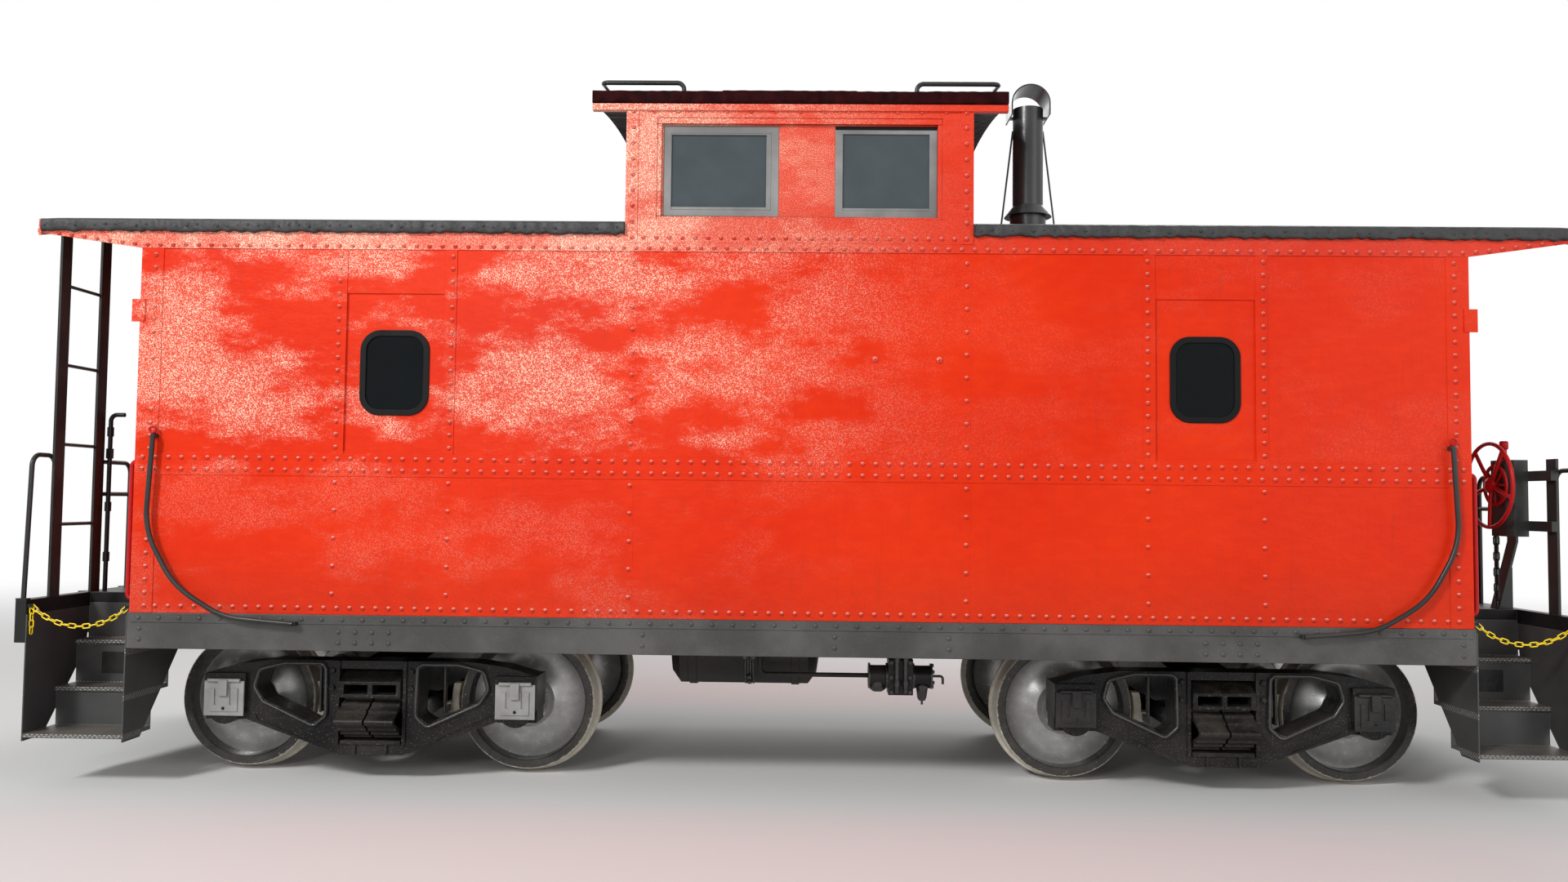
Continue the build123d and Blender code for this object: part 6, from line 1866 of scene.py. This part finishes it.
@dataclass
class Studio:
    """The plain pale floor and background, soft lamps, and the camera at the photograph's angle."""

    spot: Point = (0.0608, -8.4355, 1.7048)
    yaw: float = -0.019
    pitch: float = 0.0487
    roll: float = 0.0108
    focal_pixels: float = 1496.7
    frame_pixels: float = 1920
    sensor: float = 36.0
    sky: float = 0.33
    fade: Span = (7.0, 22.0)
    floor_half: float = 60.0

    @staticmethod
    def stand(name: str, data: bpy.types.ID, spot: Point, turn: np.ndarray) -> bpy.types.Object:
        """Put a camera or lamp in the scene.

        Args:
            name: the object's name.
            data: the camera or lamp.
            spot: its place.
            turn: its 3 by 3 matrix.

        Returns:
            The object.
        """
        thing = bpy.data.objects.new(name, data)
        bpy.context.scene.collection.objects.link(thing)
        thing.matrix_world = Matrix.Translation(spot) @ Matrix(turn.tolist()).to_4x4()
        return thing

    def camera(self) -> None:
        """Set up the camera: forward is (sin yaw cos pitch, cos yaw cos pitch, sin pitch)."""
        cy, sy = math.cos(self.yaw), math.sin(self.yaw)
        cp, sp = math.cos(self.pitch), math.sin(self.pitch)
        cr, sr = math.cos(self.roll), math.sin(self.roll)
        ahead = np.array([sy * cp, cy * cp, sp])
        level = np.array([cy, -sy, 0.0])
        above = np.cross(level, ahead)
        right, up = cr * level + sr * above, -sr * level + cr * above
        lens = bpy.data.cameras.new("camera")
        lens.sensor_width = self.sensor
        lens.lens = self.focal_pixels / self.frame_pixels * self.sensor
        turn = np.stack([right, up, -ahead], axis=1)
        bpy.context.scene.camera = self.stand("camera", lens, self.spot, turn)

    def lamp(self, name: str, spot: Point, size: float, power: float, aim: Point) -> None:
        """Add one soft square lamp that looks at a point.

        Args:
            name: the lamp's name.
            spot: where it stands.
            size: how wide it is.
            power: its power in watts.
            aim: the point it looks at.
        """
        data = bpy.data.lights.new(name, "AREA")
        data.size = size
        data.energy = power
        self.stand(name, data, spot, facing(np.asarray(spot) - np.asarray(aim)))

    def floor(self) -> None:
        """Lay the pale floor, which turns to the background's white far from the car."""
        half = self.floor_half
        mesh = bpy.data.meshes.new("studio_floor")
        corners = [(x * half, y * half, 0) for x, y in ((-1, -1), (1, -1), (1, 1), (-1, 1))]
        mesh.from_pydata(corners, [], [(0, 1, 2, 3)])
        ground = bpy.data.objects.new("studio_floor", mesh)
        bpy.context.scene.collection.objects.link(ground)
        bench = Bench("floor_finish")
        far = (bench.x * bench.x + bench.y * bench.y) ** 0.5
        share = far.rise(*self.fade) * bench.seen()
        bench.shader.inputs["Base Color"].default_value = (0.80, 0.795, 0.79, 1.0)
        bench.shader.inputs["Roughness"].default_value = 0.85
        glow = bench.node("ShaderNodeEmission", values={"Strength": 1.0})
        plain = Value(bench, bench.shader.outputs[0])
        both = bench.node("ShaderNodeMixShader", values={0: share, 1: plain, 2: glow})
        end = next(n for n in bench.tree.nodes if n.type == "OUTPUT_MATERIAL")
        bench.feed(end.inputs["Surface"], both)
        mesh.materials.append(bench.material)

    def world(self) -> None:
        """Set up a world that lights softly and shows pale to the camera."""
        world = bpy.data.worlds.new("studio")
        bpy.context.scene.world = world
        world.use_nodes = True
        world.node_tree.nodes.clear()
        tree = Tree(world.node_tree)
        strength = tree.seen() * (1.0 - self.sky) + self.sky
        back = tree.node("ShaderNodeBackground", values={"Strength": strength, "Color": (1.0, 1.0, 1.0, 1.0)})
        tree.node("ShaderNodeOutputWorld", values={"Surface": back}, out=None)

    def build(self) -> None:
        """Set up the whole studio."""
        bpy.context.scene.view_settings.view_transform = "Standard"
        self.camera()
        self.floor()
        self.world()
        self.lamp("key_lamp", (-11.0, -16.0, 12.4), 3.2, 2820.0, (0.0, 0.0, 1.6))
        self.lamp("sheen_lamp", (-3.5, -12.4, 4.5), 1.8, 180.0, (-1.0, 0.0, 2.2))
        self.lamp("fill_lamp", (9.0, -9.0, 4.0), 7.0, 260.0, (0.0, 0.0, 1.6))
        self.lamp("back_lamp", (3.0, 11.0, 9.0), 8.0, 700.0, (0.0, 0.0, 2.0))


def main() -> None:
    """Build every piece of the scene in order, and report each part."""
    logging.basicConfig(level=logging.INFO, format="%(name)s: %(message)s")
    Studio().build()
    shop = Workshop(mixed_paints())
    parts = {
        "sides": CarSides(shop),
        "cupola": Cupola(shop),
        "roof": Roof(shop),
        "rails": Rails(shop),
        "end walls": EndWalls(shop),
        "end gear": EndGear(shop),
        "underframe": Underframe(shop),
        "truck a": Truck(shop, "a", Coat.LID_A),
        "truck b": Truck(shop, "b", Coat.LID_B),
        **{f"wheelset {number}": Wheelset(shop, number) for number in AXLES},
    }
    for name, part in parts.items():
        before = shop.count
        part.build()
        log.info("%s: %d pieces", name, shop.count - before)


if __name__ == "__main__":
    main()
